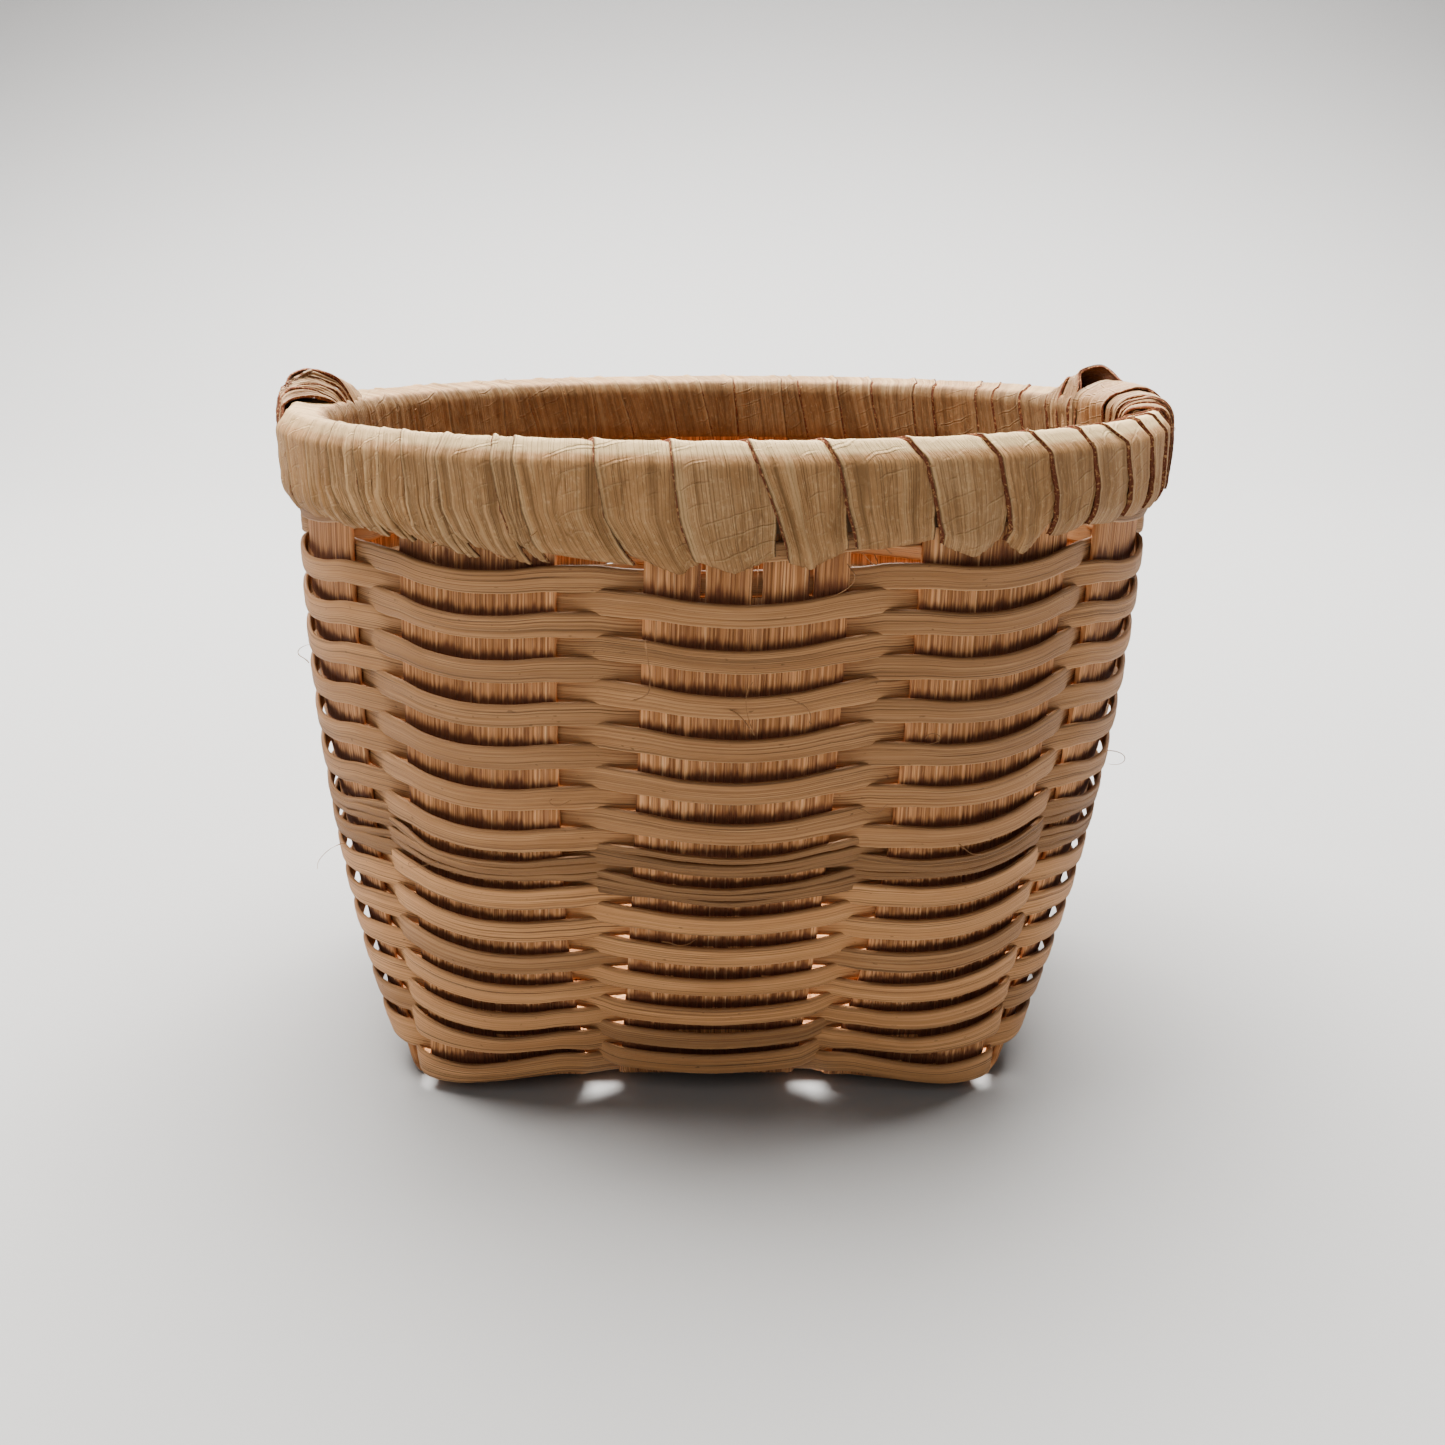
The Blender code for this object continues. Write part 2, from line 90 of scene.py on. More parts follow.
# Base and wall
BASE_WIDTH = 0.0530
CORNER_ROUND = 0.0030
BASE_DOME = 0.0012
DOME_EDGE_SHARE = 0.3
BASE_FLARE = 0.0012
FLARE_FADE = 0.0020
UPRIGHT_BELOW_HOOP = 0.00018
WALL_CURVE_POWER = 2.15
CORNER_FADE_POWER = 2.2
BASE_LEAN = 0.0017

# Weavers
ROW_COUNT = 30
WEAVER_THICK = 0.00042
ROW_ZONE_SHARES = ((0.172, 0.82), (0.414, 0.98), (0.552, 0.84), (0.966, 1.12), (1.0, 1.72))
OVER_WIDTH = 0.00178
DARK_OVER_WIDTH = 0.00150
LOW_OVER_WIDTH = 0.00192
FOOT_WIDTH = 0.00240
FOOT_ROWS = 2
CROSSING_WIDTH = 0.00200
FOOT_CROSSING_WIDTH = 0.00260
FOOT_CROSSING_ROWS = 3
LOW_ROWS = 14
LOW_DIP_SHARE = 0.45
FOOT_DROP = 0.00140
FOOT_DROP_FADE = 2.2 * BASE_SLOT
BEHIND_DROP = 0.00028
TOP_ROW_TUCK = 0.00035
TOP_ROW_SHARE = 0.8
WEAVER_BOW = 0.00055
FIRST_ROW_ROOM = 0.0031
TOP_ROW_ROOM = 0.00035
ROW_DIP = 0.0006
ROW_LIFT = 0.0001
CORNER_DROP = 0.0019
CORNER_DROP_POWER = 6
CORNER_DROP_FADE_SHARE = 0.5
OVER_POINTS = 5
LAP_END_SHARE = 0.85
LAP_STAKES = ((8, 6, 4), (7, 5))
DARK_ROW_SHARES = (0.45, 0.48, 0.52)

SLOPE_STEP = 0.0002
QUARTER = math.pi / 2
STAKES = 12

# Worked out from the sizes above
WEAVE_OFFSET = (SPLINT_THICK + WEAVER_THICK) / 2 + WEAVE_CLEAR
BASE_LAYER = (SPLINT_THICK + WEAVE_CLEAR) / 2
BASE_STACK = 2 * SPLINT_THICK + WEAVE_CLEAR
WALL_RADIUS = (RIM_RADIUS - WRAP_THICK - WRAP_CLEAR - OUTER_HOOP_THICK - HOOP_CLEAR
               - SPLINT_THICK / 2)
INNER_RADIUS = (WALL_RADIUS - SPLINT_THICK / 2 - HOOP_CLEAR - INNER_HOOP_THICK - WRAP_CLEAR
                - WRAP_THICK)
BASE_HALF = BASE_WIDTH / 2 - WEAVE_OFFSET - WEAVER_BOW - WEAVER_THICK / 2
HOOP_TOP = RIM_HEIGHT - SHOULDER_DROP - WRAP_CLEAR
HOOP_BOTTOM = HOOP_TOP - HOOP_HEIGHT
WALL_UPRIGHT = HOOP_BOTTOM - UPRIGHT_BELOW_HOOP
STAKE_TOP = RIM_HEIGHT - STAKE_TOP_DROP
FIRST_ROW = BASE_STACK + FIRST_ROW_ROOM
DARK_ROWS = [round(share * (ROW_COUNT - 1)) for share in DARK_ROW_SHARES]
UP = Vector((0.0, 0.0, 1.0))


# ---------------------------------------------------------------- wall of the basket

def between(low, high, share):
    return low + (high - low) * share


def smooth(share):
    share = min(max(share, 0.0), 1.0)
    return share * share * (3 - 2 * share)


def rise(height):
    return min(max(height / WALL_UPRIGHT, 0.0), 1.0)


def side_half(height):
    return WALL_RADIUS - (WALL_RADIUS - BASE_HALF) * (1 - rise(height)) ** WALL_CURVE_POWER


def flat_half(height):
    return (BASE_HALF - CORNER_ROUND) * (1 - rise(height)) ** CORNER_FADE_POWER


def half_run(height):
    flat = flat_half(height)
    return flat + (side_half(height) - flat) * math.pi / 4


def perimeter_share(height):
    return (half_run(height) - half_run(0.0)) / (half_run(WALL_UPRIGHT) - half_run(0.0))


def section(lateral, height):
    flat = flat_half(height)
    bend = side_half(height) - flat
    along = abs(lateral)
    if along <= flat:
        return lateral, flat + bend, 0.0, 1.0
    turn = (along - flat) / bend
    sign = math.copysign(1.0, lateral)
    place = sign * (flat + bend * math.sin(turn)), flat + bend * math.cos(turn)
    return *place, sign * math.sin(turn), math.cos(turn)


def turned(side, lateral, outward):
    angle = side * QUARTER
    return Vector((lateral * math.cos(angle) + outward * math.sin(angle),
                   lateral * math.sin(angle) - outward * math.cos(angle), 0.0))


def lean_shift(height):
    return Vector((-BASE_LEAN * (1 - rise(height)), 0.0, 0.0))


def wall_frame(side, lateral, height):
    """Point, outward normal and upward direction on the middle of the stakes' wall."""
    x, y, normal_x, normal_y = section(lateral, height)
    above = height + SLOPE_STEP
    stretched = lateral * half_run(above) / half_run(height)
    above_x, above_y, _, _ = section(stretched, above)
    slope = ((above_x - x) * normal_x + (above_y - y) * normal_y) / SLOPE_STEP
    across = turned(side, normal_x, normal_y)
    point = turned(side, x, y) + lean_shift(height) + UP * height
    normal = (across - UP * slope).normalized()
    upward = (across * slope + UP).normalized()
    return point, normal, upward


def stake_side(stake):
    return (stake + 1) // 3 % 4, (stake + 1) % 3 - 1


def slots(side, height):
    share = perimeter_share(height)
    rim_slot = SIDE_RIM_SLOT if side % 2 else FRONT_RIM_SLOT
    return between(BASE_SLOT, rim_slot, share), share


def side_width(height):
    share = perimeter_share(height)
    slot_sum = 2 * BASE_SLOT
    rim_sum = FRONT_RIM_SLOT + SIDE_RIM_SLOT
    corner = between(CORNER_BASE_SLOT, CORNER_RIM_SLOT + FRONT_DRIFT, share)
    used = CENTRE_WIDTH + between(slot_sum, rim_sum, share) + corner
    return (2 * half_run(height) - used) / 2


def stake_edges(side, place, height):
    slot, share = slots(side, height)
    drift = FRONT_DRIFT * share if side == 0 else 0.0
    if place == 0:
        drift += CENTRE_DRIFT * share if side == 0 else 0.0
        return drift - CENTRE_WIDTH / 2, drift + CENTRE_WIDTH / 2
    inner = CENTRE_WIDTH / 2 + slot
    outer = inner + side_width(height)
    low, high = sorted((place * inner, place * outer))
    return low + drift, high + drift


def dome_share(distance):
    inner = CENTRE_WIDTH / 2 + BASE_SLOT
    middle = inner + side_width(0.0) / 2
    if distance <= CENTRE_WIDTH / 2:
        return 0.0
    if distance <= inner:
        return DOME_EDGE_SHARE * (distance - CENTRE_WIDTH / 2) / BASE_SLOT
    return min(1.0, between(DOME_EDGE_SHARE, 1.0, (distance - inner) / (middle - inner)))


def base_height(x, y, layer):
    dome = BASE_DOME * (1 - dome_share(abs(x)) * dome_share(abs(y)))
    return SPLINT_THICK / 2 + BASE_LAYER + dome + layer * BASE_LAYER


def splint_layer(place, along_x, distance):
    """Near 1 where this splint lies on top of the one it crosses, near -1 where it lies under."""
    inner = CENTRE_WIDTH / 2 + BASE_SLOT
    crossed = smooth((distance - CENTRE_WIDTH / 2) / (inner - CENTRE_WIDTH / 2))
    first = 1 if (place % 2 == 0) != along_x else -1
    return between(first, -first, crossed)


# ---------------------------------------------------------------- rows of the weave

def row_share(row):
    return row / (ROW_COUNT - 1)


def row_span():
    top_half = (HOOP_BOTTOM - FIRST_ROW) / (ROW_COUNT - 1) / 2
    return HOOP_BOTTOM - TOP_ROW_ROOM - top_half - FIRST_ROW


def row_spread(share):
    spread, start = 0.0, 0.0
    for end, pitch_share in ROW_ZONE_SHARES:
        spread += (min(max(share, start), end) - start) * pitch_share
        start = end
    return spread


@cache
def row_level(row):
    return FIRST_ROW + row_span() * row_spread(row_share(row)) / row_spread(1.0)


def over_width(row, offset):
    """Width of a row, flattened a little where it lies between its neighbours."""
    rising = min(row / LOW_ROWS, 1.0)
    full = DARK_OVER_WIDTH if row in DARK_ROWS else between(LOW_OVER_WIDTH, OVER_WIDTH, rising)
    full = FOOT_WIDTH if row < FOOT_ROWS else full
    bowed = smooth((offset - WEAVE_OFFSET / 2) / (WEAVER_BOW + WEAVE_OFFSET / 2))
    crossing = FOOT_CROSSING_WIDTH if row < FOOT_CROSSING_ROWS else CROSSING_WIDTH
    return between(crossing, full, bowed)


def foot_drop(row, lateral):
    """How far the low rows are pressed down towards the foot round the middle stakes."""
    beside = smooth((abs(lateral) - CENTRE_WIDTH / 2) / FOOT_DROP_FADE)
    return FOOT_DROP * max(1 - row / LOW_ROWS, 0.0) ** 2 * (1 - beside)


def passes_front(row, stake):
    return (row + stake) % 2 == 1


def row_height(row, lateral, level, weight):
    corner = math.sin(min(abs(lateral) / half_run(level), 2.0) * QUARTER) ** CORNER_DROP_POWER
    drop = CORNER_DROP * CORNER_DROP_FADE_SHARE ** row * corner
    dip = ROW_DIP * between(LOW_DIP_SHARE, 1.0, min(row / LOW_ROWS, 1.0))
    return level - dip * max(weight, 0.0) + ROW_LIFT * max(-weight, 0.0) - drop


def weaver_start(row):
    choices = LAP_STAKES[row % 2]
    return choices[row // 2 % len(choices)]


def row_places(row, stake, layer_drop=0.0):
    """Turn round the basket in quarters, height and offset of a row's points at one stake."""
    side, place = stake_side(stake)
    level = row_level(row)
    low, high = stake_edges(side, place, level)
    front = passes_front(row, stake)
    count = OVER_POINTS if front else 2
    made = []
    for step in range(count):
        share = step / (count - 1)
        swell = math.sin(math.pi * share)
        lateral = between(low, high, share)
        weight = swell if front else -1.0
        offset = WEAVE_OFFSET + WEAVER_BOW * swell if front else -WEAVE_OFFSET - layer_drop
        made.append((side + lateral / (2 * half_run(level)),
                     row_height(row, lateral, level, weight), offset))
    return made


def corner_place(row, stake):
    side, place = stake_side(stake)
    level = row_level(row)
    edge = stake_edges(side, place, level)[1]
    next_edge = stake_edges(*stake_side((stake + 1) % STAKES), level)[0]
    lateral = (edge + 2 * half_run(level) + next_edge) / 2
    return (side + lateral / (2 * half_run(level)), row_height(row, lateral, level, 0.0), 0.0)


def weaver_places(row):
    start = weaver_start(row)
    places = []
    for step in range(STAKES):
        stake = (start + step) % STAKES
        places += row_places(row, stake)
        if stake_side(stake)[1] == 1:
            places.append(corner_place(row, stake))
    lap = row_places(row, start, WEAVER_THICK + WEAVE_CLEAR)
    lap[1] = (between(lap[0][0], lap[1][0], LAP_END_SHARE), *lap[1][1:])
    places += lap
    turns, heights, offsets = (np.array(column) for column in zip(*places))
    for number in range(1, len(turns)):
        while turns[number] < turns[number - 1] - 2:
            turns[number:] += 4
    return turns, heights, offsets


def eased(points, values, wanted):
    """A smooth line through values at rising points, without overshoot."""
    gaps = np.diff(points)
    slopes = np.diff(values) / gaps
    ends = np.zeros(len(points))
    same = slopes[1:] * slopes[:-1] > 0
    ends[1:-1][same] = 2 * slopes[1:][same] * slopes[:-1][same] / (slopes[1:] + slopes[:-1])[same]
    place = np.clip(np.searchsorted(points, wanted) - 1, 0, len(gaps) - 1)
    share = (wanted - points[place]) / gaps[place]
    low, high = values[place], values[place + 1]
    low_slope, high_slope = ends[place] * gaps[place], ends[place + 1] * gaps[place]
    return ((1 + 2 * share) * (1 - share) ** 2 * low + share * (1 - share) ** 2 * low_slope
            + share ** 2 * (3 - 2 * share) * high + share ** 2 * (share - 1) * high_slope)


# ---------------------------------------------------------------- sizes and colours to change

def size_property(name, description, default, least=0.0):
    return bpy.props.FloatProperty(name=name, description=description, default=default,
                                   min=least, unit="LENGTH")


def colour_property(name, description, *default):
    return bpy.props.FloatVectorProperty(name=name, description=description, subtype="COLOR",
                                         default=default, min=0.0, max=1.0)


class BasketSizes(bpy.types.PropertyGroup):
    strand_step: size_property(
        "Strand step", "Distance between sections along a weaver", 0.0008, 0.0002)
    strand_waver: size_property(
        "Strand waver", "How far a weaver strays up and down", 0.00009)
    strand_ridges: size_property(
        "Strand ridges", "Height of the ridges left by splitting the reed", 0.00006)
    splint_step: size_property(
        "Splint step", "Distance between sections along a splint", 0.0005, 0.0002)
    splint_columns: bpy.props.IntProperty(
        name="Splint columns", description="Points across a splint", default=41, min=5)
    leaf_thick: size_property(
        "Leaf thickness", "Thickness of the leaf strip", 0.00018, 0.00005)
    leaf_crumple: size_property(
        "Leaf crumple", "Depth of the crumples in the leaf", 0.00010)
    leaf_lift: size_property(
        "Leaf edge lift", "How far the leading edge of a turn stands proud", 0.00014)


class BasketColours(bpy.types.PropertyGroup):
    strand: colour_property("Weaver", "Light face of a weaver", 0.50, 0.255, 0.105)
    splint: colour_property("Splint", "Light fibres of a splint", 0.74, 0.35, 0.145)
    fibre: colour_property("Pale fibre", "Palest fibres of a splint", 0.86, 0.52, 0.26)
    # The dark stain colour also gives the painted shade at the bottom of each splint window.
    stain_and_shade: colour_property("Stain", "Dark stain between the fibres", 0.125, 0.038, 0.018)
    leaf: colour_property("Leaf", "Pale face of the leaf", 0.462, 0.264, 0.120)
    # The brown inner face of the loops is painted shade inside the loops.
    leaf_inside_shade: colour_property(
        "Leaf inside", "Brown inner face of the leaf loops", 0.20, 0.075, 0.035)
    floor: colour_property("Floor", "Pale floor and backdrop", 0.312, 0.309, 0.308)


# ---------------------------------------------------------------- node trees

class Value:
    """A socket that works in Python sums, each of which adds its Math node."""

    def __init__(self, recipe, socket):
        self.recipe = recipe
        self.socket = socket

    def math(self, operation, *others):
        return self.recipe.add("ShaderNodeMath", {"operation": operation}, [self, *others])

    def __add__(self, other):
        return self.math("ADD", other)

    __radd__ = __add__

    def __mul__(self, other):
        return self.math("MULTIPLY", other)

    def __sub__(self, other):
        return self.math("SUBTRACT", other)

    def __neg__(self):
        return self * -1.0

    def __rsub__(self, other):
        return -self + other

    def __pow__(self, other):
        return self.math("POWER", other)

    def __abs__(self):
        return self.math("ABSOLUTE")

    def part(self, axis):
        return self.recipe.add("ShaderNodeSeparateXYZ", {}, [self], axis)

    def ramp(self, low, high):
        """0 below low, 1 above high and a soft step between."""
        return self.recipe.add("ShaderNodeMapRange", {"interpolation_type": "SMOOTHSTEP"},
                               {"Value": self, "From Min": low, "From Max": high}, "Result")

    def near(self, level, low, high):
        """1 up to low away from the level, 0 past high away."""
        return 1 - abs(self - level).ramp(low, high)


class Recipe:
    """A node tree under construction."""

    def __init__(self, tree):
        self.tree = tree

    def join(self, value, socket):
        """Links a value to a socket, or sets a plain one on it."""
        if isinstance(value, Value):
            self.tree.links.new(value.socket, socket)
        else:
            socket.default_value = value

    def add(self, kind, settings, sockets, result=0):
        node = self.tree.nodes.new(kind)
        for name, setting in settings.items():
            setattr(node, name, setting)
        pairs = sockets.items() if isinstance(sockets, dict) else enumerate(sockets)
        for name, value in pairs:
            self.join(value, node.inputs[name])
        return Value(self, node.outputs[result])

    def layered(self, base, *layers):
        """A colour with others mixed over it, each by its own share."""
        for share, colour in layers:
            node = self.tree.nodes.new("ShaderNodeMix")
            node.data_type = "RGBA"
            ends = {"Factor_Float": share, "A_Color": base, "B_Color": colour}
            for socket in node.inputs:
                if socket.identifier in ends:
                    value = ends[socket.identifier]
                    self.join(value if isinstance(value, Value) else (*value, 1.0), socket)
            base = Value(self, next(s for s in node.outputs if s.identifier == "Result_Color"))
        return base

    def noise(self, place, detail=2.0, roughness=0.5, scale=1.0):
        """Noise at a place, which may be three numbers or values."""
        if not isinstance(place, Value):
            place = self.add("ShaderNodeCombineXYZ", {}, place)
        return self.add("ShaderNodeTexNoise", {}, {
            "Vector": place, "Scale": scale, "Detail": detail, "Roughness": roughness})

    def patterns(self, axes, rows):
        """A noise for each row: its scales on the three axes, its detail and its roughness."""
        return [self.noise([axis * scale for axis, scale in zip(axes, row)], *row[3:])
                for row in rows]

    def attributes(self, *names):
        return [self.add("ShaderNodeAttribute", {"attribute_name": name}, {}, "Fac")
                for name in names]

    def object_place(self):
        return self.add("ShaderNodeTexCoord", {}, {}, "Object")

    def scaled(self, direction, amount):
        return self.add("ShaderNodeVectorMath", {"operation": "SCALE"},
                        {"Vector": direction, "Scale": amount})

    def named(self, kind, *names):
        """Named attributes in a geometry tree."""
        return [self.add("GeometryNodeInputNamedAttribute", {"data_type": kind},
                         {"Name": name}, "Attribute") for name in names]

    def store(self, geometry, kind, name, value):
        return self.add("GeometryNodeStoreNamedAttribute", {"data_type": kind},
                        {"Geometry": geometry, "Name": name, "Value": value})

    def moved(self, *steps):
        """The rail's points moved by amounts in directions."""
        position, = self.named("FLOAT_VECTOR", "rail")
        for direction, amount in steps:
            position = self.add("ShaderNodeVectorMath", {"operation": "ADD"},
                                [position, self.scaled(direction, amount)])
        return position

    def finish_shader(self, colour, roughness, height, bump, distance):
        """Colour, roughness and relief into the one shader of a material."""
        shader = self.tree.nodes["Principled BSDF"]
        relief = self.add("ShaderNodeBump", {}, {
            "Strength": bump, "Distance": distance, "Height": height}, "Normal")
        for name, value in (("Base Color", colour), ("Roughness", roughness),
                            ("Normal", relief)):
            self.join(value, shader.inputs[name])


def shades(name, specular):
    """An empty material and the recipe that fills it."""
    made = bpy.data.materials.new(name)
    made.use_nodes = True
    made.node_tree.nodes["Principled BSDF"].inputs["Specular IOR Level"].default_value = specular
    return made, Recipe(made.node_tree)


# ---------------------------------------------------------------- materials

PALE_STRAW = (1.0, 0.80, 0.42)
BROWN_KEEPS = (1.0, 0.88, 0.74)

# Patterns, each with its scales on three axes, its detail and its roughness. The axes are along
# and across the strip and from piece to piece, and on a splint across comes first.
STRAND_PATTERNS = (
    (45.0, 11.0, 7.3, 3.0, 0.65), (11.0, 5.0, 3.1, 1.0), (150.0, 0.8, 5.7, 3.0, 0.55),
    (1500.0, 3.0, 2.3, 1.0),
)
SPLINT_PATTERNS = (
    (5200.0, 60.0, 9.1, 2.0, 0.6), (2300.0, 18.0, 5.3, 1.0), (520.0, 90.0, 4.7),
    (3600.0, 16.0, 2.3, 1.0),
)
LEAF_PATTERNS = (
    (14.0, 30.0, 3.7, 3.0, 0.7), (5.0, 9.0, 8.3, 0.0), (160.0, 1.1, 2.9),
    (260.0, 1.4, 6.1, 4.0, 0.6), (2200.0, 9.0, 4.9, 2.0, 0.6),
)
# How the cross veins' phase grows along and across the leaf, and how far it strays.
LEAF_CROSS_VEINS = (4400.0, 4.4, 5.0)

# Along the leaf from the end of its painted shade on the inside of the rim: the fade of that
# painted shade, then the start and the end of the painted light on the crown.
INSIDE_SHADE_FADE = (-0.0004, 0.0001)
CROWN_START = (0.0, 0.0004)
CROWN_END = (0.0031, 0.0037)
# Where the painted light on the crown fades, towards the back and towards the left of the basket.
CROWN_BACK_FADE = (-0.01, 0.03)
CROWN_LEFT_FADE = (0.012, 0.036)

STRAND_RELIEF = 0.00008
SPLINT_RELIEF = 0.00012
LEAF_RELIEF = 0.00013
EDGE_RELIEF = 0.0001
FLOOR_RELIEF = 0.0002


def darker(colour, share):
    return tuple(part * share for part in colour)


def brighter(colour, amount):
    """The colour turned towards pale straw, for pale marks and for painted highlights."""
    return tuple(between(part, pale, amount) for part, pale in zip(colour, PALE_STRAW))


def warmer(colour, share):
    """The colour darkened and turned towards brown."""
    return tuple(part * share * keep for part, keep in zip(colour, BROWN_KEEPS))


def strand_material(name, colours, tone, lines):
    """Split reed: fine grain along the strand, a brown upper edge partly stain and partly painted
    shade, a painted highlight on the cut lower edge, and painted shade on the inward face.
    """
    made, recipe = shades(name, 0.25)
    along, across, row, facing = recipe.attributes("along", "across", "row", "facing")
    grain, line, blotch, speck = recipe.patterns((along, across, row), STRAND_PATTERNS)
    crack = line.near(0.5, 0.004, 0.024) * lines
    upper = (across + (grain - 0.5) * 0.6).ramp(0.66, 1.0)
    lower = (-across + (blotch - 0.5) * 0.16).ramp(0.84, 0.95)
    light = darker(colours.strand, tone)
    base = recipe.layered(
        warmer(light, 0.60),
        (grain.ramp(0.30, 0.66), light),
        (grain.ramp(0.58, 0.76) * 0.5, brighter(light, 0.14)),
        (blotch.ramp(0.40, 0.72) * 0.55, warmer(light, 0.70)),
        (crack, darker(colours.strand, 0.20)),
        (speck.ramp(0.72, 0.80) * 0.6, darker(colours.strand, 0.22)),
        # Browner upper edge: partly stain, partly painted shade.
        (upper * 0.8, warmer(colours.strand, 0.34)),
        # Painted highlight: bounce light on the cut lower edge.
        (lower * 0.5, brighter(colours.strand, 0.16)),
        # Painted shade on the strand's inward face.
        ((-facing).ramp(0.1, 0.5) * 0.5, darker(colours.strand, 0.42)))
    recipe.finish_shader(base, 0.5 + grain * 0.25, grain * 0.8 - crack, 0.8, STRAND_RELIEF)
    return made


def splint_material(colours):
    """Rough face of the reed: close fibres, golden above and darker below in each window, partly
    stain and partly painted shade.
    """
    made, recipe = shades("splint_fibres", 0.15)
    along, sideways, window, splint = recipe.attributes("along", "sideways", "window", "splint")
    fibre, groove, broad, streak = recipe.patterns((sideways, along, splint), SPLINT_PATTERNS)
    groove_line = groove.near(0.5, 0.01, 0.05) * 0.5
    reach = window - (streak - 0.5) * 0.8 - (broad - 0.5) * 0.8
    # Darker towards the bottom of each window and along the slits: partly stain, partly painted
    # shade.
    dark = (1 - reach.ramp(0.0, 0.46)) * 0.88
    pale = fibre.ramp(0.62, 0.74) * 0.3
    base = recipe.layered(
        warmer(colours.splint, 0.50),
        (fibre.ramp(0.36, 0.62), colours.splint),
        (fibre.ramp(0.58, 0.72) * 0.7, colours.fibre),
        (broad.ramp(0.44, 0.70) * 0.6, warmer(colours.splint, 0.5)),
        (groove_line, colours.stain_and_shade),
        (dark * (1 - pale), colours.stain_and_shade))
    recipe.finish_shader(base, 0.65 + fibre * 0.2, fibre * 0.8 - groove_line, 1.0,
                         SPLINT_RELIEF)
    return made


def leaf_material(name, light, specular=0.22, inside=0.0):
    """Dry leaf: close veins, a net of pale cross veins with a painted shadow beside each, creases
    with painted shade and highlight, and browner margins with a painted highlight inside them. The
    first part of its length, up to inside, is darkened with painted shade, and the crown after it
    gets painted light."""
    made, recipe = shades(name, specular)
    along, across, turn, crease = recipe.attributes("along", "across", "turn", "facing")
    vein, rib, stray, blotch, mottle = recipe.patterns((along, across, turn), LEAF_PATTERNS)
    hue = recipe.noise((turn * 3.1, 0.5, 0.5), 0.0)
    rib_line = rib.near(0.5, 0.006, 0.035)
    by_run, by_width, by_stray = LEAF_CROSS_VEINS
    phase = along * by_run + across * by_width + stray * by_stray
    patch = stray.ramp(0.42, 0.62)
    # Pale cross veins, partly painted highlight, with a painted shadow beside each.
    cross_line = phase.math("SINE").ramp(0.90, 1.0) * patch
    cross_dip_shadow = (phase + 0.6).math("SINE").ramp(0.92, 1.0) * patch
    edge = abs(across) + (mottle - 0.5) * 0.06
    base = recipe.layered(
        darker(light, 0.52),
        (vein.ramp(0.30, 0.66), light),
        (hue.ramp(0.35, 0.65) * 0.6, warmer(light, 0.84)),
        (blotch.ramp(0.40, 0.66) * 0.75, warmer(light, 0.58)),
        (mottle.ramp(0.52, 0.74) * 0.45, brighter(light, 0.16)),
        (mottle.ramp(0.30, 0.42) * -0.5 + 0.5, warmer(light, 0.66)),
        (rib_line * 0.5, darker(light, 0.40)),
        (cross_line * 0.26, brighter(light, 0.14)),
        (cross_dip_shadow * 0.28, warmer(light, 0.50)),
        # Painted shade on one side of each fold and along the crease, painted highlight on the
        # other side.
        ((-crease).ramp(0.03, 0.15) * 0.7, warmer(light, 0.38)),
        (crease.near(-0.03, 0.0, 0.016) * 0.55, warmer(light, 0.34)),
        (crease.ramp(0.05, 0.18) * 0.5, brighter(light, 0.14)),
        # Painted highlight just inside the browner margins.
        (edge.ramp(0.88, 0.93) * 0.3, brighter(light, 0.2)))
    if inside:
        run = along - inside
        # Painted shade: darker where the leaf lies on the inside of the rim.
        base = recipe.scaled(base, 1 - (1 - run.ramp(*INSIDE_SHADE_FADE)) * 0.42)
        place = recipe.object_place()
        pale = ((1 - place.part("Y").ramp(*CROWN_BACK_FADE) * 0.85)
                * (1 - (-place.part("X")).ramp(*CROWN_LEFT_FADE) * 0.55))
        crown = run.ramp(*CROWN_START) * (1 - run.ramp(*CROWN_END))
        # Painted light on the crown, less towards the back and the left.
        base = recipe.layered(base, (crown * pale * 0.74, brighter(light, 0.46)))
    base = recipe.layered(base, (edge.ramp(0.95, 0.985) * 0.85, darker(light, 0.22)))
    height = (vein * 0.6 + cross_line * 0.4 - cross_dip_shadow * 0.3 - rib_line * 0.4 + blotch * 0.8
              + mottle * 0.3)
    recipe.finish_shader(base, 0.55 + vein * 0.2, height, 1.0, LEAF_RELIEF)
    return made


def edge_material(colours):
    """Frayed cut edge of the leaf: dark brown with lighter fibre ends."""
    made, recipe = shades("leaf_cut_edge", 0.1)
    speck = recipe.noise(recipe.object_place(), 2.0, 0.6, 4200.0)
    base = recipe.layered(colours.stain_and_shade, (speck.ramp(0.52, 0.68), warmer(colours.leaf, 0.85)))
    recipe.finish_shader(base, 0.7 + speck * 0.2, speck, 1.0, EDGE_RELIEF)
    return made


def hoop_shade_material(colours):
    """Plain flat reed of the hoops, seen only in the cracks between turns of leaf, coloured very
    dark as painted shade in those cracks.
    """
    made, recipe = shades("hoop_reed", 0.25)
    place = recipe.object_place()
    grain = recipe.noise((place.part("Z") * 3000.0, 0.0, 0.0))
    blotch = recipe.noise(place, scale=240.0)
    # Very dark: painted shade in the cracks between turns.
    base = recipe.layered(darker(colours.strand, 0.14), (grain, darker(colours.strand, 0.34)),
                          (blotch * 0.4, darker(colours.strand, 0.08)))
    recipe.finish_shader(base, 0.6 + grain * 0.2, grain, 0.6, STRAND_RELIEF)
    return made


# ---------------------------------------------------------------- geometry trees

LEAF_BACK_TUCK = 0.00026


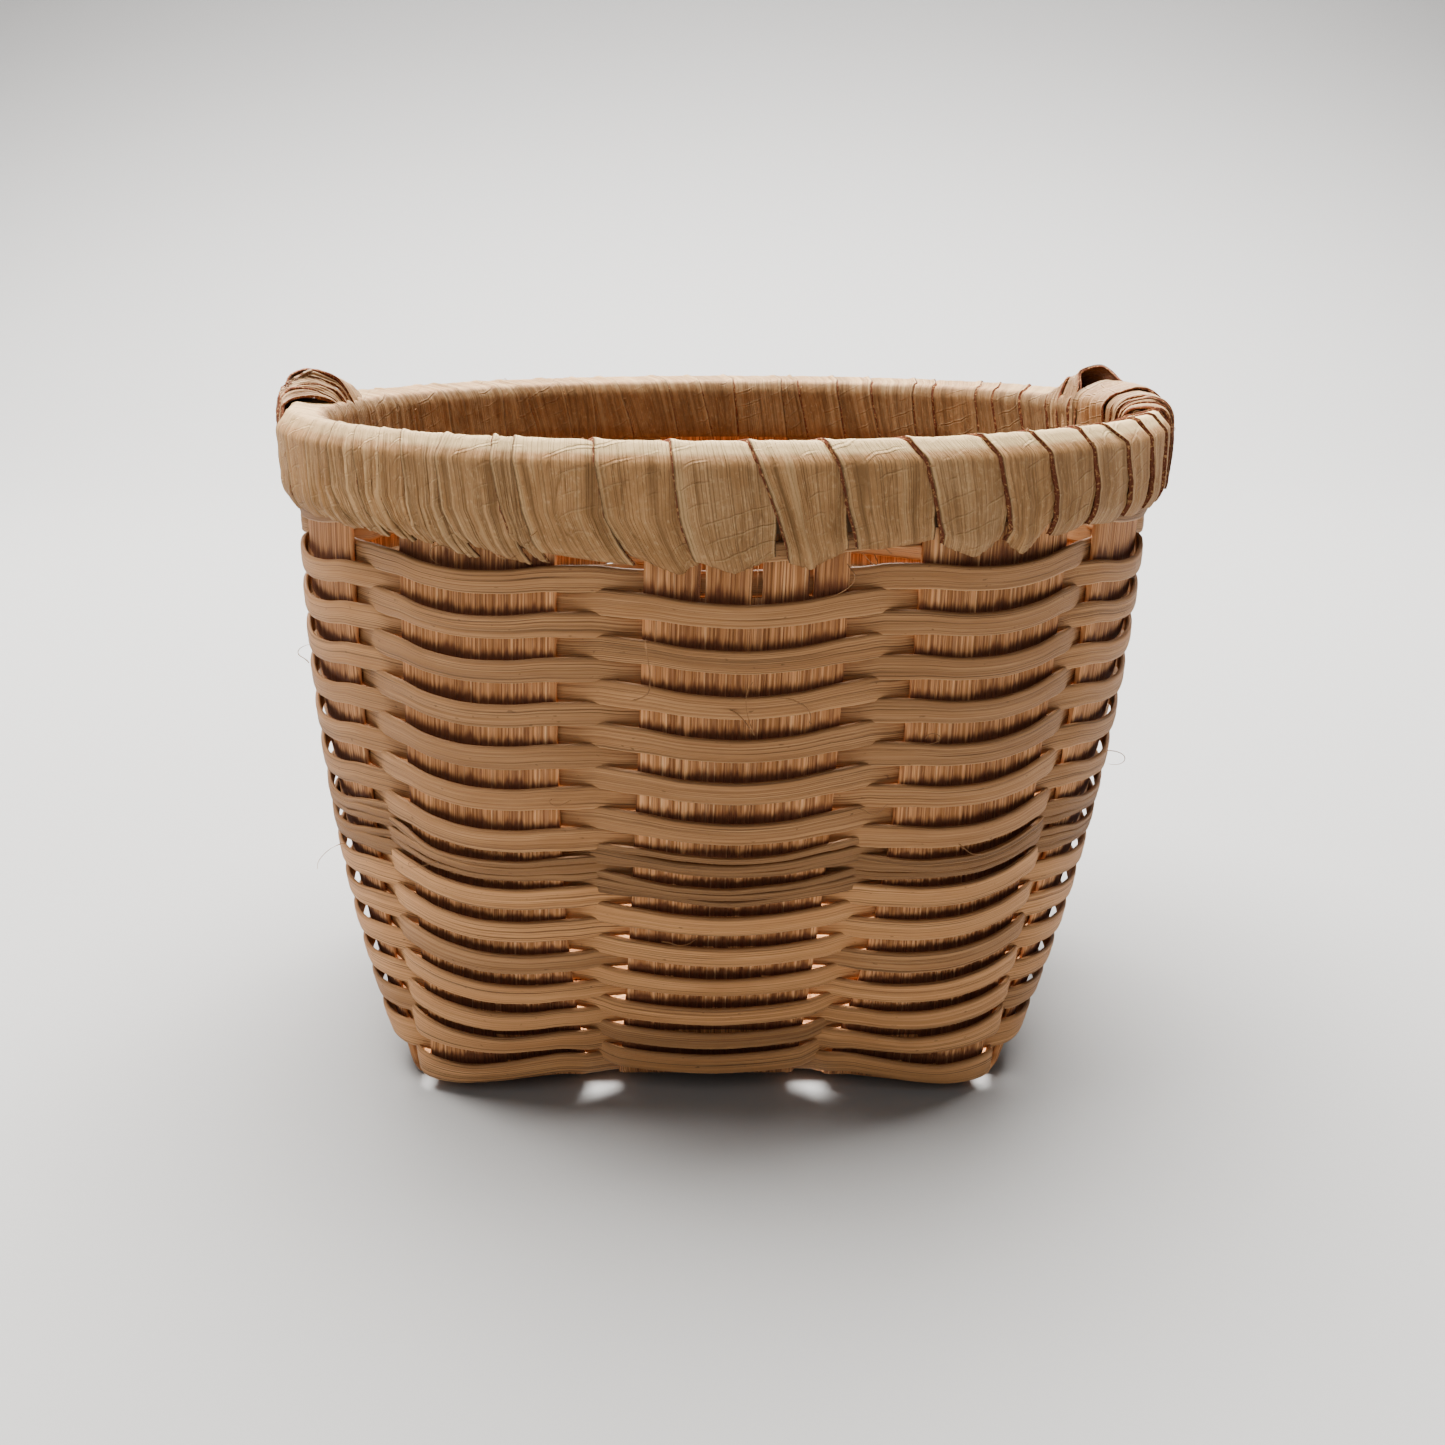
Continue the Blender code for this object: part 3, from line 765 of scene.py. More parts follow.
def new_tree(name, count, *amounts):
    """A modifier's tree: rails, a count, amounts and a finish come in, geometry goes out."""
    tree = bpy.data.node_groups.new(name, "GeometryNodeTree")
    tree.is_modifier = True
    inputs = (("Rails", "Geometry"), (count, "Int"), *((label, "Float") for label in amounts),
              ("Finish", "Material"))
    for label, kind in inputs:
        tree.interface.new_socket(label, in_out="INPUT", socket_type=f"NodeSocket{kind}")
    tree.interface.new_socket("Geometry", in_out="OUTPUT", socket_type="NodeSocketGeometry")
    recipe = Recipe(tree)
    entry = tree.nodes.new("NodeGroupInput")
    ways = {socket.name: Value(recipe, socket) for socket in entry.outputs if socket.name}
    return recipe, ways


def sweep(recipe, rails, profile, caps):
    """Rails swept with a profile; each point keeps its rail's place and the profile's own."""
    place = recipe.add("GeometryNodeInputPosition", {}, {})
    curve = recipe.add("GeometryNodeMeshToCurve", {}, [rails])
    curve = recipe.store(curve, "FLOAT_VECTOR", "rail", place)
    profile = recipe.store(profile, "FLOAT_VECTOR", "outline", place)
    return recipe.add("GeometryNodeCurveToMesh", {}, {
        "Curve": curve, "Profile Curve": profile, "Fill Caps": caps})


def settle(recipe, mesh, position, across, facing, finish):
    """Moves the swept points, keeps the pattern's coordinates and gives the finish."""
    mesh = recipe.add("GeometryNodeSetPosition", {}, {"Geometry": mesh, "Position": position})
    mesh = recipe.store(mesh, "FLOAT", "across", across)
    mesh = recipe.store(mesh, "FLOAT", "facing", facing)
    mesh = recipe.add("GeometryNodeSetShadeSmooth", {}, {"Geometry": mesh, "Shade Smooth": True})
    mesh = recipe.add("GeometryNodeRealizeInstances", {}, {"Geometry": mesh})
    mesh = recipe.add("GeometryNodeSetMaterial", {}, {"Geometry": mesh, "Material": finish})
    recipe.join(mesh, recipe.tree.nodes.new("NodeGroupOutput").inputs[0])
    return recipe.tree


def strand_tree():
    """Half-round reed along rails: domed outside, nearly flat inside, ridged along its length."""
    recipe, ways = new_tree("reed_strand", "Points Round", "Ridges", "Seed")
    circle = recipe.add("GeometryNodeCurvePrimitiveCircle", {}, {
        "Resolution": ways["Points Round"], "Radius": 1.0})
    mesh = sweep(recipe, ways["Rails"], circle, True)
    outline, out, up = recipe.named("FLOAT_VECTOR", "outline", "out", "up")
    half, thick, along = recipe.named("FLOAT", "half", "thick", "along")
    across, facing = outline.part("X"), outline.part("Y")
    square = across * across
    flank = (1 - square ** 5.0) ** 0.5 * facing.math("SIGN") * 0.5
    crown = (1 - square) * facing.ramp(0.0, 0.3) * 0.07
    ridge = recipe.noise((along * 20.0, across * 3.5, ways["Seed"]), 2.0, 0.6) - 0.5
    outward = (flank + crown) * thick + ridge * facing.ramp(0.0, 0.5) * ways["Ridges"] * 2.0
    position = recipe.moved((up, across * half), (out, outward))
    return settle(recipe, mesh, position, across, facing, ways["Finish"])


def leaf_tree():
    """Leaf strip along rails: bowed, pleated and crumpled, with a pulled-back, pointed end."""
    recipe, ways = new_tree("leaf_strip", "Points Across", "Crumple", "Edge Lift", "Seed")
    line = recipe.add("GeometryNodeCurvePrimitiveLine", {}, {
        "Start": (-1.0, 0.0, 0.0), "End": (1.0, 0.0, 0.0)})
    line = recipe.add("GeometryNodeResampleCurve", {}, {
        "Curve": line, "Count": ways["Points Across"]})
    mesh = sweep(recipe, ways["Rails"], line, False)
    outline, out, side, way = recipe.named("FLOAT_VECTOR", "outline", "out", "side", "way")
    half, bow, pleat, pull, tip, along, turn = recipe.named(
        "FLOAT", "half", "bow", "pleat", "pull", "tip", "along", "turn")
    across, seed = outline.part("X"), ways["Seed"]
    fold = recipe.noise((across * 3.6 + turn * 5.3, along * 60.0, seed), 2.0, 0.55) - 0.5
    crumple = recipe.noise((across * 3.0 + turn * 2.7, along * 900.0, seed), 3.0, 0.55) - 0.5
    ragged = recipe.noise((across * 9.0, turn * 1.7, seed), 2.0, 0.6) - 0.5
    lift = ((-across).ramp(0.70, 1.0) * ways["Edge Lift"]
            - across.ramp(0.50, 0.90) * LEAF_BACK_TUCK)
    outward = (lift - across * across * bow + fold * pleat * 2.0
               + crumple * ways["Crumple"] * 2.0)
    back = ragged * pull * 0.5 - abs(across - tip) * pull
    position = recipe.moved((side, across * half), (out, outward), (way, back))
    return settle(recipe, mesh, position, across, fold, ways["Finish"])


def add_object(name, data):
    made = bpy.data.objects.new(name, data)
    bpy.context.scene.collection.objects.link(made)
    return made


def add_layers(mesh, columns):
    """Stores each column of numbers or directions on the mesh's points."""
    for key, values in columns.items():
        flat = np.array(values, dtype=np.float32)
        kind, field = ("FLOAT_VECTOR", "vector") if flat.ndim == 2 else ("FLOAT", "value")
        mesh.attributes.new(key, kind, "POINT").data.foreach_set(field, flat.ravel())


def noise_at(*place):
    return noise.noise(Vector(place))


def add_point(rail, **values):
    for key, value in values.items():
        rail.setdefault(key, []).append(value)


def rails_object(name, rails):
    """A mesh of open chains; each point carries the numbers and directions a tree reads."""
    points, edges = [], []
    for rail in rails:
        first = len(points)
        points += [tuple(point) for point in rail["points"]]
        edges += [(number, number + 1) for number in range(first, len(points) - 1)]
    mesh = bpy.data.meshes.new(name)
    mesh.from_pydata(points, edges, [])
    add_layers(mesh, {key: [value for rail in rails for value in rail[key]]
                      for key in rails[0] if key != "points"})
    return add_object(name, mesh)


def grow(made, tree, inputs, solid=()):
    """Runs a tree on an object's rails and keeps the result as its plain mesh. Solid is the
    skin's thickness, the material of its rim and, if it differs, that of its other face."""
    runner = made.modifiers.new("grow", "NODES")
    runner.node_group = tree
    for item in tree.interface.items_tree:
        if item.in_out == "INPUT" and item.name in inputs:
            runner[item.identifier] = inputs[item.name]
    others = solid[1:]
    if solid:
        for finish in (inputs["Finish"], *others):
            made.data.materials.append(finish)
        skin = made.modifiers.new("thickness", "SOLIDIFY")
        skin.thickness = solid[0]
        skin.offset = -1.0
        skin.material_offset = 2 if len(others) > 1 else 0
        skin.material_offset_rim = 1
    graph = bpy.context.evaluated_depsgraph_get()
    fresh = bpy.data.meshes.new_from_object(made.evaluated_get(graph), depsgraph=graph)
    made.modifiers.clear()
    made.data = fresh
    for finish in others:
        fresh.materials.append(finish)
    for name in ("rail", "outline", "out", "up", "side", "way", "half", "thick", "bow",
                 "pleat", "pull", "tip"):
        layer = fresh.attributes.get(name)
        if layer:
            fresh.attributes.remove(layer)
    return made


def face_outwards(made):
    work = bmesh.new()
    work.from_mesh(made.data)
    bmesh.ops.recalc_face_normals(work, faces=work.faces[:])
    work.to_mesh(made.data)
    work.free()


def adopt(made, slot, *nodes):
    """Seats a finished piece on the basket in place of its CAD nodes."""
    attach(made, "root")
    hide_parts(*nodes)


# ---------------------------------------------------------------- splints

SIDE_STAKES = {stake_side(stake): stake for stake in range(STAKES)}
SPLINT_SETS = (("front_back", False, ("left", "middle", "right")),
               ("left_right", True, ("front", "middle", "back")))
SPLINT_FRAY = 0.00004
SPLINT_EDGE_SHARE = 0.7
FRAY_ACROSS = 2600
FRAY_ALONG = 160
SIDE_SHIFT = 0.1


def base_spot(along_x, distance, column, level):
    """Point of the base at a distance from the middle along a splint's column."""
    spot = (distance, column) if along_x else (column, distance)
    return Vector((*spot, level)) + lean_shift(0.0)


def splint_stations(place, along_x, sizes):
    """Middle line of each column of a splint from one top to the other: point, normal, height
    on the wall, side and place across."""
    count = sizes.splint_columns
    low, high = stake_edges(1, place, 0.0)
    columns = [between(low, high, step / (count - 1)) for step in range(count)]
    shares = [2 * step / (count - 1) - 1 for step in range(count)]
    reach = BASE_HALF - SPLINT_BEND

    def wall(side):
        mirrored = side in (2, 3)
        own_place = -place if mirrored else place
        layer = splint_layer(place, along_x, BASE_HALF)
        levels = [base_height(*((BASE_HALF, c) if along_x else (c, BASE_HALF)), layer)
                  for c in columns]
        first = levels[len(levels) // 2] + SPLINT_BEND
        steps = int((STAKE_TOP - first) / sizes.splint_step)
        stations = []
        for step in range(steps + 1):
            height = between(first, STAKE_TOP, step / steps)
            edges = stake_edges(side, own_place, height)
            laterals = [between(*edges, (share + 1) / 2) for share in shares]
            if mirrored:
                laterals.reverse()
            stations.append([(*wall_frame(side, lateral, height)[:2], height, side, lateral)
                             for lateral in laterals])
        spot = reach if side in (1, 2) else -reach
        ends, bends = [], []
        for column, level, (upper, normal, *_) in zip(columns, levels, stations[0]):
            end = base_spot(along_x, spot, column, level)
            lateral = -column if mirrored else column
            knee = wall_frame(side, lateral, level)[0]
            ends.append((end, -UP, -1.0, side, lateral))
            bends.append(((end + knee * 2 + upper) / 4, (normal - UP).normalized(), -1.0, side,
                          lateral))
        return stations, bends, ends

    near_stations, near_bends, near_ends = wall(3 if along_x else 0)
    far_stations, far_bends, far_ends = wall(1 if along_x else 2)
    lines = [*reversed(near_stations), near_bends, near_ends]
    steps = int(2 * reach / sizes.splint_step)
    for step in range(1, steps):
        distance = between(-reach, reach, step / steps)
        layer = splint_layer(place, along_x, abs(distance))
        flare = place * BASE_FLARE * smooth((reach - abs(distance)) / FLARE_FADE)
        row = []
        for column, share in zip(columns, shares):
            column += flare * (1 + place * share) / 2
            level = base_height(*((distance, column) if along_x else (column, distance)), layer)
            row.append((base_spot(along_x, distance, column, level), -UP, -1.0, 0, column))
        lines.append(row)
    lines += [far_ends, far_bends, *far_stations]
    return lines, shares


def window_share(stake, lateral, height, edges):
    """Place in the open window between two rows: 0 on the lower row's edge, 1 on the upper's."""
    reach = (lateral - edges[0]) / (edges[1] - edges[0])
    swell = math.sin(math.pi * min(max(reach, 0.0), 1.0))
    below, above = 0.0, HOOP_BOTTOM
    for row in range(ROW_COUNT):
        if not passes_front(row, stake):
            continue
        centre = row_height(row, lateral, row_level(row), swell) - foot_drop(row, lateral)
        half = over_width(row, WEAVE_OFFSET + WEAVER_BOW * swell) / 2
        if centre > height:
            above = centre - half
            break
        below = centre + half
    return (height - below) / max(above - below, SLOPE_STEP)


def stain_and_shade_share(side, place, lateral, height):
    """Place in the window between two rows, 0 as well along the slits of the front stake."""
    own = -place if side in (2, 3) else place
    edges = stake_edges(side, own, height)
    share = window_share(SIDE_STAKES[(side, own)], lateral, height, edges)
    if side == 0 and place == 0 and height > STAKE_TOP - SLIT_DEPTH:
        centre = (edges[0] + edges[1]) / 2
        nearest = min(abs(lateral - centre - slit * CENTRE_WIDTH / 2) for slit in SLIT_SHARES)
        share *= smooth(nearest / SLIT_STAIN_AND_SHADE)
    return share


def splint_faces(count, stations, slit_columns, slit_end):
    """Faces over rings of points that run across the outer face and back across the inner one.
    Down to slit_end the slit columns are open and have side walls."""
    ring = 2 * count
    last = (stations - 1) * ring
    faces = []
    for station in range(stations - 1):
        start = station * ring
        open_columns = slit_columns if station < slit_end else ()
        for step in range(ring):
            column = step if step < count else ring - 2 - step
            after = (step + 1) % ring
            if column not in open_columns or step == count - 1:
                faces.append((start + step, start + after, start + ring + after,
                              start + ring + step))
        for column in open_columns:
            for edge in (column, column + 1):
                front, back = start + edge, start + ring - 1 - edge
                faces.append((front, back, back + ring, front + ring))
    for step in range(count - 1):
        top = slit_end * ring if step in slit_columns else 0
        end = ring - 2 - step
        faces.append((top + step, top + end + 1, top + end, top + step + 1))
        faces.append((last + step, last + step + 1, last + end, last + end + 1))
    return faces


def make_splint(name, place, along_x, number, sizes, finish):
    lines, shares = splint_stations(place, along_x, sizes)
    count = len(shares)
    points, layers = [], {"along": [], "sideways": [], "window": []}
    run = 0.0
    before = lines[0][count // 2][0]
    for line in lines:
        middle = line[count // 2][0]
        run += (middle - before).length
        before = middle
        for layer in (1, -1):
            for column in range(count)[::layer]:
                spot, normal, height, side, lateral = line[column]
                fray = noise_at(lateral * FRAY_ACROSS, height * FRAY_ALONG, number + side * 3.1)
                fray = fray if height > 0 else -abs(fray)
                relief = SPLINT_THICK / 2 + SPLINT_FRAY * fray * (layer > 0)
                if column in (0, count - 1):
                    relief *= SPLINT_EDGE_SHARE
                points.append(spot + normal * (relief * layer))
                on_wall = height > 0 and layer > 0
                add_point(layers, along=run, sideways=lateral + side * SIDE_SHIFT,
                          window=stain_and_shade_share(side, place, lateral, height) if on_wall else 1.0)
    slit_columns, slit_end = (), 0
    if place == 0 and not along_x:
        slit_columns = [round((share + 1) / 2 * (count - 1)) for share in SLIT_SHARES]
        slit_end = sum(line[0][2] > STAKE_TOP - SLIT_DEPTH for line in lines[:len(lines) // 2])
    mesh = bpy.data.meshes.new(name)
    mesh.from_pydata(points, [], splint_faces(count, len(lines), slit_columns, slit_end))
    add_layers(mesh, {**layers, "splint": [float(number)] * len(points)})
    mesh.materials.append(finish)
    mesh.shade_smooth()
    made = add_object(name, mesh)
    face_outwards(made)
    return made


class BASKET_OT_splints(bpy.types.Operator):
    """Weave the six flat splints that cross in the base and stand up as stakes"""
    bl_idname = "basket.splints"
    bl_label = "Splints"

    def execute(self, context):
        finish = splint_material(context.scene.basket_colours)
        number = 0
        for way, along_x, labels in SPLINT_SETS:
            for place, label in zip((-1, 0, 1), labels):
                number += 1
                made = make_splint(f"fibred_splint_{way}_{label}", place, along_x, number,
                                   context.scene.basket_sizes, finish)
                adopt(made, "reed_splint", f"splint_{way}_{label}")
        return {"FINISHED"}


# ---------------------------------------------------------------- weavers

# Thin strands that make up a dark row: place within the row and share of its width.
DARK_STRANDS = ((-0.72, 0.36), (-0.02, 0.44), (0.70, 0.34))
STRAND_TONES = (1.0, 0.92, 0.84)
# The lighter tone of the low rows is painted light, making up for the shade they lie in under the
# outward-leaning wall.
LOW_ROWS_PAINTED_LIGHT = 1.34
DARK_TONE = 0.76
PLAIN_LINES = 0.75
STRAND_POINTS = 24
STRAND_SWELL = 0.08
# How often along its length a strand wavers, strays from its row and swells, and the noise's own
# place for each.
STRAND_NOISES = ((70, 0.0), (160, 9.0), (90, 4.0))


def weaver_rail(row, sizes, place=0.0, width_share=1.0):
    """Rail of one strand of a row; place moves it up or down within the row's width."""
    turns, heights, offsets = weaver_places(row)
    quarter_run = 2 * half_run(row_level(row))
    count = int((turns[-1] - turns[0]) * quarter_run / sizes.strand_step)
    wanted = np.linspace(turns[0], turns[-1], count)
    top_share, tuck = (TOP_ROW_SHARE, TOP_ROW_TUCK) if row == ROW_COUNT - 1 else (1.0, 0.0)
    seed = row * 3.3 + place * 17.0
    rail = {}
    for turn, high, proud in zip(wanted, eased(turns, heights, wanted),
                                 eased(turns, offsets, wanted)):
        side = round(turn)
        lateral = (turn - side) * quarter_run
        along = turn * quarter_run
        waver, stray, swell = (noise_at(along * often, seed, which)
                               for often, which in STRAND_NOISES)
        stray *= abs(place) * 0.5
        width = over_width(row, proud) * top_share
        high += (waver * sizes.strand_waver + (place + stray) * width / 2 + tuck
                 - foot_drop(row, lateral) - BEHIND_DROP * smooth(-proud / WEAVE_OFFSET))
        spot, normal, upward = wall_frame(side % 4, lateral, high)
        add_point(rail, points=spot + normal * proud, out=normal, up=upward,
                  half=width * width_share / 2 * (1 + STRAND_SWELL * swell),
                  thick=WEAVER_THICK * (1 - 0.25 * abs(place)),
                  along=along + place * 0.31, row=row + place)
    return rail


class BASKET_OT_weavers(bpy.types.Operator):
    """Weave the rows of half-round split reed between the stakes"""
    bl_idname = "basket.weavers"
    bl_label = "Weavers"

    def execute(self, context):
        sizes, colours = context.scene.basket_sizes, context.scene.basket_colours
        tree = strand_tree()
        *plain, low = [strand_material(f"reed_strand_{letter}", colours, tone, PLAIN_LINES)
                       for letter, tone in zip("abcd", (*STRAND_TONES, LOW_ROWS_PAINTED_LIGHT))]
        dark = strand_material("reed_strand_dark", colours, DARK_TONE, 1.0)
        for row in range(ROW_COUNT):
            stained = row in DARK_ROWS
            finish = plain[(row * 7 + row // 3) % len(plain)]
            # The low rows take the lighter copy: painted light.
            if row < LOW_ROWS and row % 5 != 3:
                finish = low
            if stained:
                finish = dark
            parts = DARK_STRANDS if stained else ((0.0, 1.0),)
            rails = [weaver_rail(row, sizes, place, share) for place, share in parts]
            made = rails_object(f"strand_{row + 1:02d}", rails)
            grow(made, tree, {"Points Round": STRAND_POINTS, "Ridges": sizes.strand_ridges,
                              "Seed": float(row), "Finish": finish})
            adopt(made, "dark_weaver" if stained else "reed_weaver", f"weaver_{row + 1:02d}")
        return {"FINISHED"}


# ---------------------------------------------------------------- leaf wrap

LEAF_SETTLE = 0.00025
LEAF_END_CURL = 0.0016
LEAF_END_TUCK = 0.0006
LEAF_START_TUCK = 0.0003
LEAF_STEP = 0.00030
LEAF_WANDER = 0.00015
LEAF_PLEAT = 0.00048
LEAF_TIP_RUN = 0.003
LEAF_POINTS = 37
SMOOTHING_PASSES = 8
INSIDE_SHADE_MARGIN = 0.0024
MILLIMETRE = 0.001
FRAYED_WIDTH = 0.00011
FRAYED_THICK = 0.00026
FRAYED_POINTS = 6

# How each turn on the front lies, by the length of leaf that it belongs to: degrees round the
# rim of its left edge at the ridge, the shoulder, half way down and the lower end, then length
# added in millimetres, share across where its tip hangs, rise of its corners in millimetres,
# degrees of gap (or, below zero, of overlap) to the next turn, and pleats.
FRONT_TURNS = {
    6: ((-75, -74, -73, -72, 0, 0.3, 0.3, -1.5, 0.7),
        (-66, -65, -64, -63.5, 0, 0.2, 0.3, -1.5, 0.9),
        (-57, -56, -56, -54.5, 0.2, 0.5, 0.5, -1, 1),
        (-51, -50, -49.5, -46, 0.4, 0.8, 0.6, -0.5, 1.5),
        (-46, -44.5, -44, -41, 0.5, 0.9, 0.7, -0.5, 1.6),
        (-41.5, -40, -40, -37, 0.5, 0.9, 0.5, -0.3, 1.2),
        (-38, -36.5, -36, -34, 1.2, 0.9, 0.8, -0.5, 1.2)),
    7: ((-31.5, -31.5, -31, -28, 1.3, 0.95, 0.8, -0.5, 0.8),
        (-25, -24.5, -23.5, -21.5, 1.2, 0.8, 0.9, -0.3, 1),
        (-22.5, -22, -21, -19, 1, 0.95, 0.4, 0.9, 0.3),
        (-13.5, -13, -12, -8.5, 1.6, 0.2, 1.3, -0.6, 0.2),
        (-5.5, -5, -4.5, -2.5, 1.5, -0.1, 1.1, 1.2, 0.2),
        (2.5, 3.5, 5.5, 7, 1.25, -0.4, 1, 0.5, 0.2)),
    0: ((10.5, 11.5, 12.5, 14, 0, -0.5, 0.3, 1, 0.2),
        (19.5, 21, 22.5, 24, 1.1, 0, 1.2, 0.3, 0.4),
        (28.5, 30, 31.5, 32, 1.3, -0.2, 1.5, 0.3, 0.4),
        (35.5, 37, 38.5, 38.5, 0.2, -0.5, 0.3, 0.5, 0.3),
        (43.5, 44.5, 46, 45.5, 0, 0.3, 0.2, 0.3, 0.2),
        (49, 52, 54, 54, 0, 0, 0.3, 0.2, 0.2)),
    1: ((58.5, 59.5, 61.5, 61, 0, 0.2, 0.3, 0.1, 0.3),
        (66, 67.5, 68.5, 68.5, 0, 0, 0.3, 0, 0.4),
        (72, 74, 74.5, 75, 0.1, 0.3, 0.4, -0.5, 0.5),
        (77, 79, 79.5, 80, 0, 0, 0.3, -1, 0.6),
        (81.5, 83.5, 84, 84.5, 0.1, 0.1, 0.4, -1, 0.6),
        (86, 88, 89, 89.5, 0, 0, 0.3, -0.5, 0.5),
        (95, 97, 98, 99, 0.1, 0, 0.3, -0.5, 0.4)),
}
BACK_TURNS = 7
OVERLAP_ANGLE = math.radians(1.3)
OVERLAP_FADE = 1.4
INNER_LAG = 1.8


def rim_section(outer_depth):
    """Outside of the leaf over the rim, from its inner lower end to its outer lower end: runs,
    radii, heights, and the runs at the ridge and at the shoulder."""
    corners = [
        (INNER_RADIUS, RIM_HEIGHT - WRAP_INNER_DEPTH),
        (INNER_RADIUS, HOOP_TOP + WRAP_CLEAR - LEAF_SETTLE),
        (INNER_RADIUS + INNER_SHOULDER_INSET, RIM_HEIGHT - INNER_SHOULDER_DROP - LEAF_SETTLE),
        (RIM_RADIUS - RIDGE_INSET, RIM_HEIGHT - LEAF_SETTLE),
        (RIM_RADIUS - LEAF_SETTLE / 2, RIM_HEIGHT - SHOULDER_DROP - LEAF_SETTLE),
        (RIM_RADIUS - LEAF_SETTLE, RIM_HEIGHT - outer_depth),
    ]
    fine, marks = [corners[0]], [0]
    for low, high in zip(corners, corners[1:]):
        parts = max(2, int(math.dist(low, high) / (LEAF_STEP / 6)))
        fine += [(between(low[0], high[0], part / parts), between(low[1], high[1], part / parts))
                 for part in range(1, parts + 1)]
        marks.append(len(fine) - 1)
    line = np.array(fine)
    for _ in range(SMOOTHING_PASSES):
        line[1:-1] = (line[:-2] + 2 * line[1:-1] + line[2:]) / 4
    runs = np.concatenate([[0.0], np.cumsum(np.linalg.norm(np.diff(line, axis=0), axis=1))])
    wanted = np.linspace(0.0, runs[-1], int(runs[-1] / LEAF_STEP))
    radius = np.interp(wanted, runs, line[:, 0])
    height = np.interp(wanted, runs, line[:, 1])
    return wanted, radius, height, runs[marks[3]], runs[marks[4]]


def round_rim(turn, radius, height):
    """Point at a turn round the basket, counted from the front."""
    return Vector((radius * math.sin(turn), -radius * math.cos(turn), height))


def chance(number, which):
    """A fixed number from about -1 to 1 for one feature of one turn."""
    return 2.2 * noise_at(number * 3.71 + 0.37, which * 5.13 + 0.61, 0.29)


def wrap_turns():
    """All turns in order round the rim, each with its length of leaf and how it lies."""
    turns = []
    strip_angle = 360 / WRAP_STRIPS
    for strip in range(WRAP_STRIPS):
        for lay in FRONT_TURNS.get(strip, ()):
            drops = [angle - lay[0] for angle in lay[1:4]]
            turns.append((strip, (lay[0] % 360, *drops), lay[4:]))
        if strip in FRONT_TURNS:
            continue
        for part in range(BACK_TURNS):
            number = strip * BACK_TURNS + part
            pick = [chance(number, which) for which in range(7)]
            left = (math.degrees(WRAP_START) + strip * strip_angle
                    + (part + 0.34 * pick[0]) * strip_angle / BACK_TURNS)
            slant = 2.2 + pick[1] * 0.9
            turns.append((strip, (left, slant * 0.5, slant * 0.8, slant),
                          (pick[2] * 0.3, pick[3] * 0.6, 0.5 + pick[4] * 0.4,
                           0.1 + pick[5] * 0.5, 0.6 + pick[6] * 0.4)))
    return turns


def edge_angles(turn, runs, marks):
    """Angle of a turn's left edge at each step from its inner lower end to its outer one."""
    _, (left, *drops), _ = turn
    ridge, shoulder = marks
    inner_slant = 1.1 + 0.9 * noise_at(left * 0.9, 2.0, 0.5)
    places = (0.0, WRAP_INNER_DEPTH, ridge, shoulder, (shoulder + runs[-1]) / 2, runs[-1])
    angles = (-inner_slant * 2 - INNER_LAG, -INNER_LAG, 0.0, *drops)
    return np.radians(np.interp(runs, places, angles) + left)


def turn_rail(number, turns):
    """Rail of one turn of leaf, laid between its own left edge and the next turn's."""
    reach, tip, rise_size, gap, pleats = turns[number][2]
    runs, radii, heights, *marks = rim_section(WRAP_OUTER_DEPTH + reach / 1000)
    shoulder = marks[1]
    left = edge_angles(turns[number], runs, marks)
    right = edge_angles(turns[(number + 1) % len(turns)], runs, marks)
    if right[0] < left[0]:
        right += 2 * math.pi
    lows = np.clip((runs - shoulder) / (runs[-1] - shoulder), 0.0, 1.0)
    above = np.clip(OVERLAP_ANGLE * (1 - lows * OVERLAP_FADE), 0.0, None)
    right += above - math.radians(gap) * lows
    middles = (left + right) / 2
    spots = [round_rim(*place) for place in zip(middles, radii, heights)]
    last = len(runs) - 1
    rail = {}
    for step, (run, low, turn) in enumerate(zip(runs, lows, middles)):
        ahead, behind = min(step + 1, last), max(step - 1, 0)
        away, side = round_rim(turn, 1.0, 0.0), round_rim(turn + QUARTER, 1.0, 0.0)
        outward, upward = radii[ahead] - radii[behind], heights[ahead] - heights[behind]
        size = math.hypot(outward, upward)
        out = away * (-upward / size) + UP * (outward / size)
        end = max(0.0, 1 - (runs[-1] - run) / LEAF_END_CURL)
        begin = max(0.0, 1 - run / LEAF_END_CURL)
        tuck = LEAF_END_TUCK * end ** 2 + LEAF_START_TUCK * begin ** 2
        wave = noise_at(run * 220, number * 1.9, 7.0)
        half = (right[step] - left[step]) * radii[step] / 2
        add_point(rail, points=spots[step] - out * tuck + side * wave * LEAF_WANDER, out=out,
                  side=side, way=(spots[ahead] - spots[behind]).normalized(), half=half,
                  bow=half * half / (2 * radii[step]) * (-upward / size),
                  pleat=LEAF_PLEAT * pleats * between(0.2, 1.0, smooth(low * 1.3)),
                  pull=rise_size / 1000 * smooth((run - runs[-1] + LEAF_TIP_RUN) / LEAF_TIP_RUN),
                  tip=tip, along=run, turn=number + 0.37 * (number % 3))
    return rail


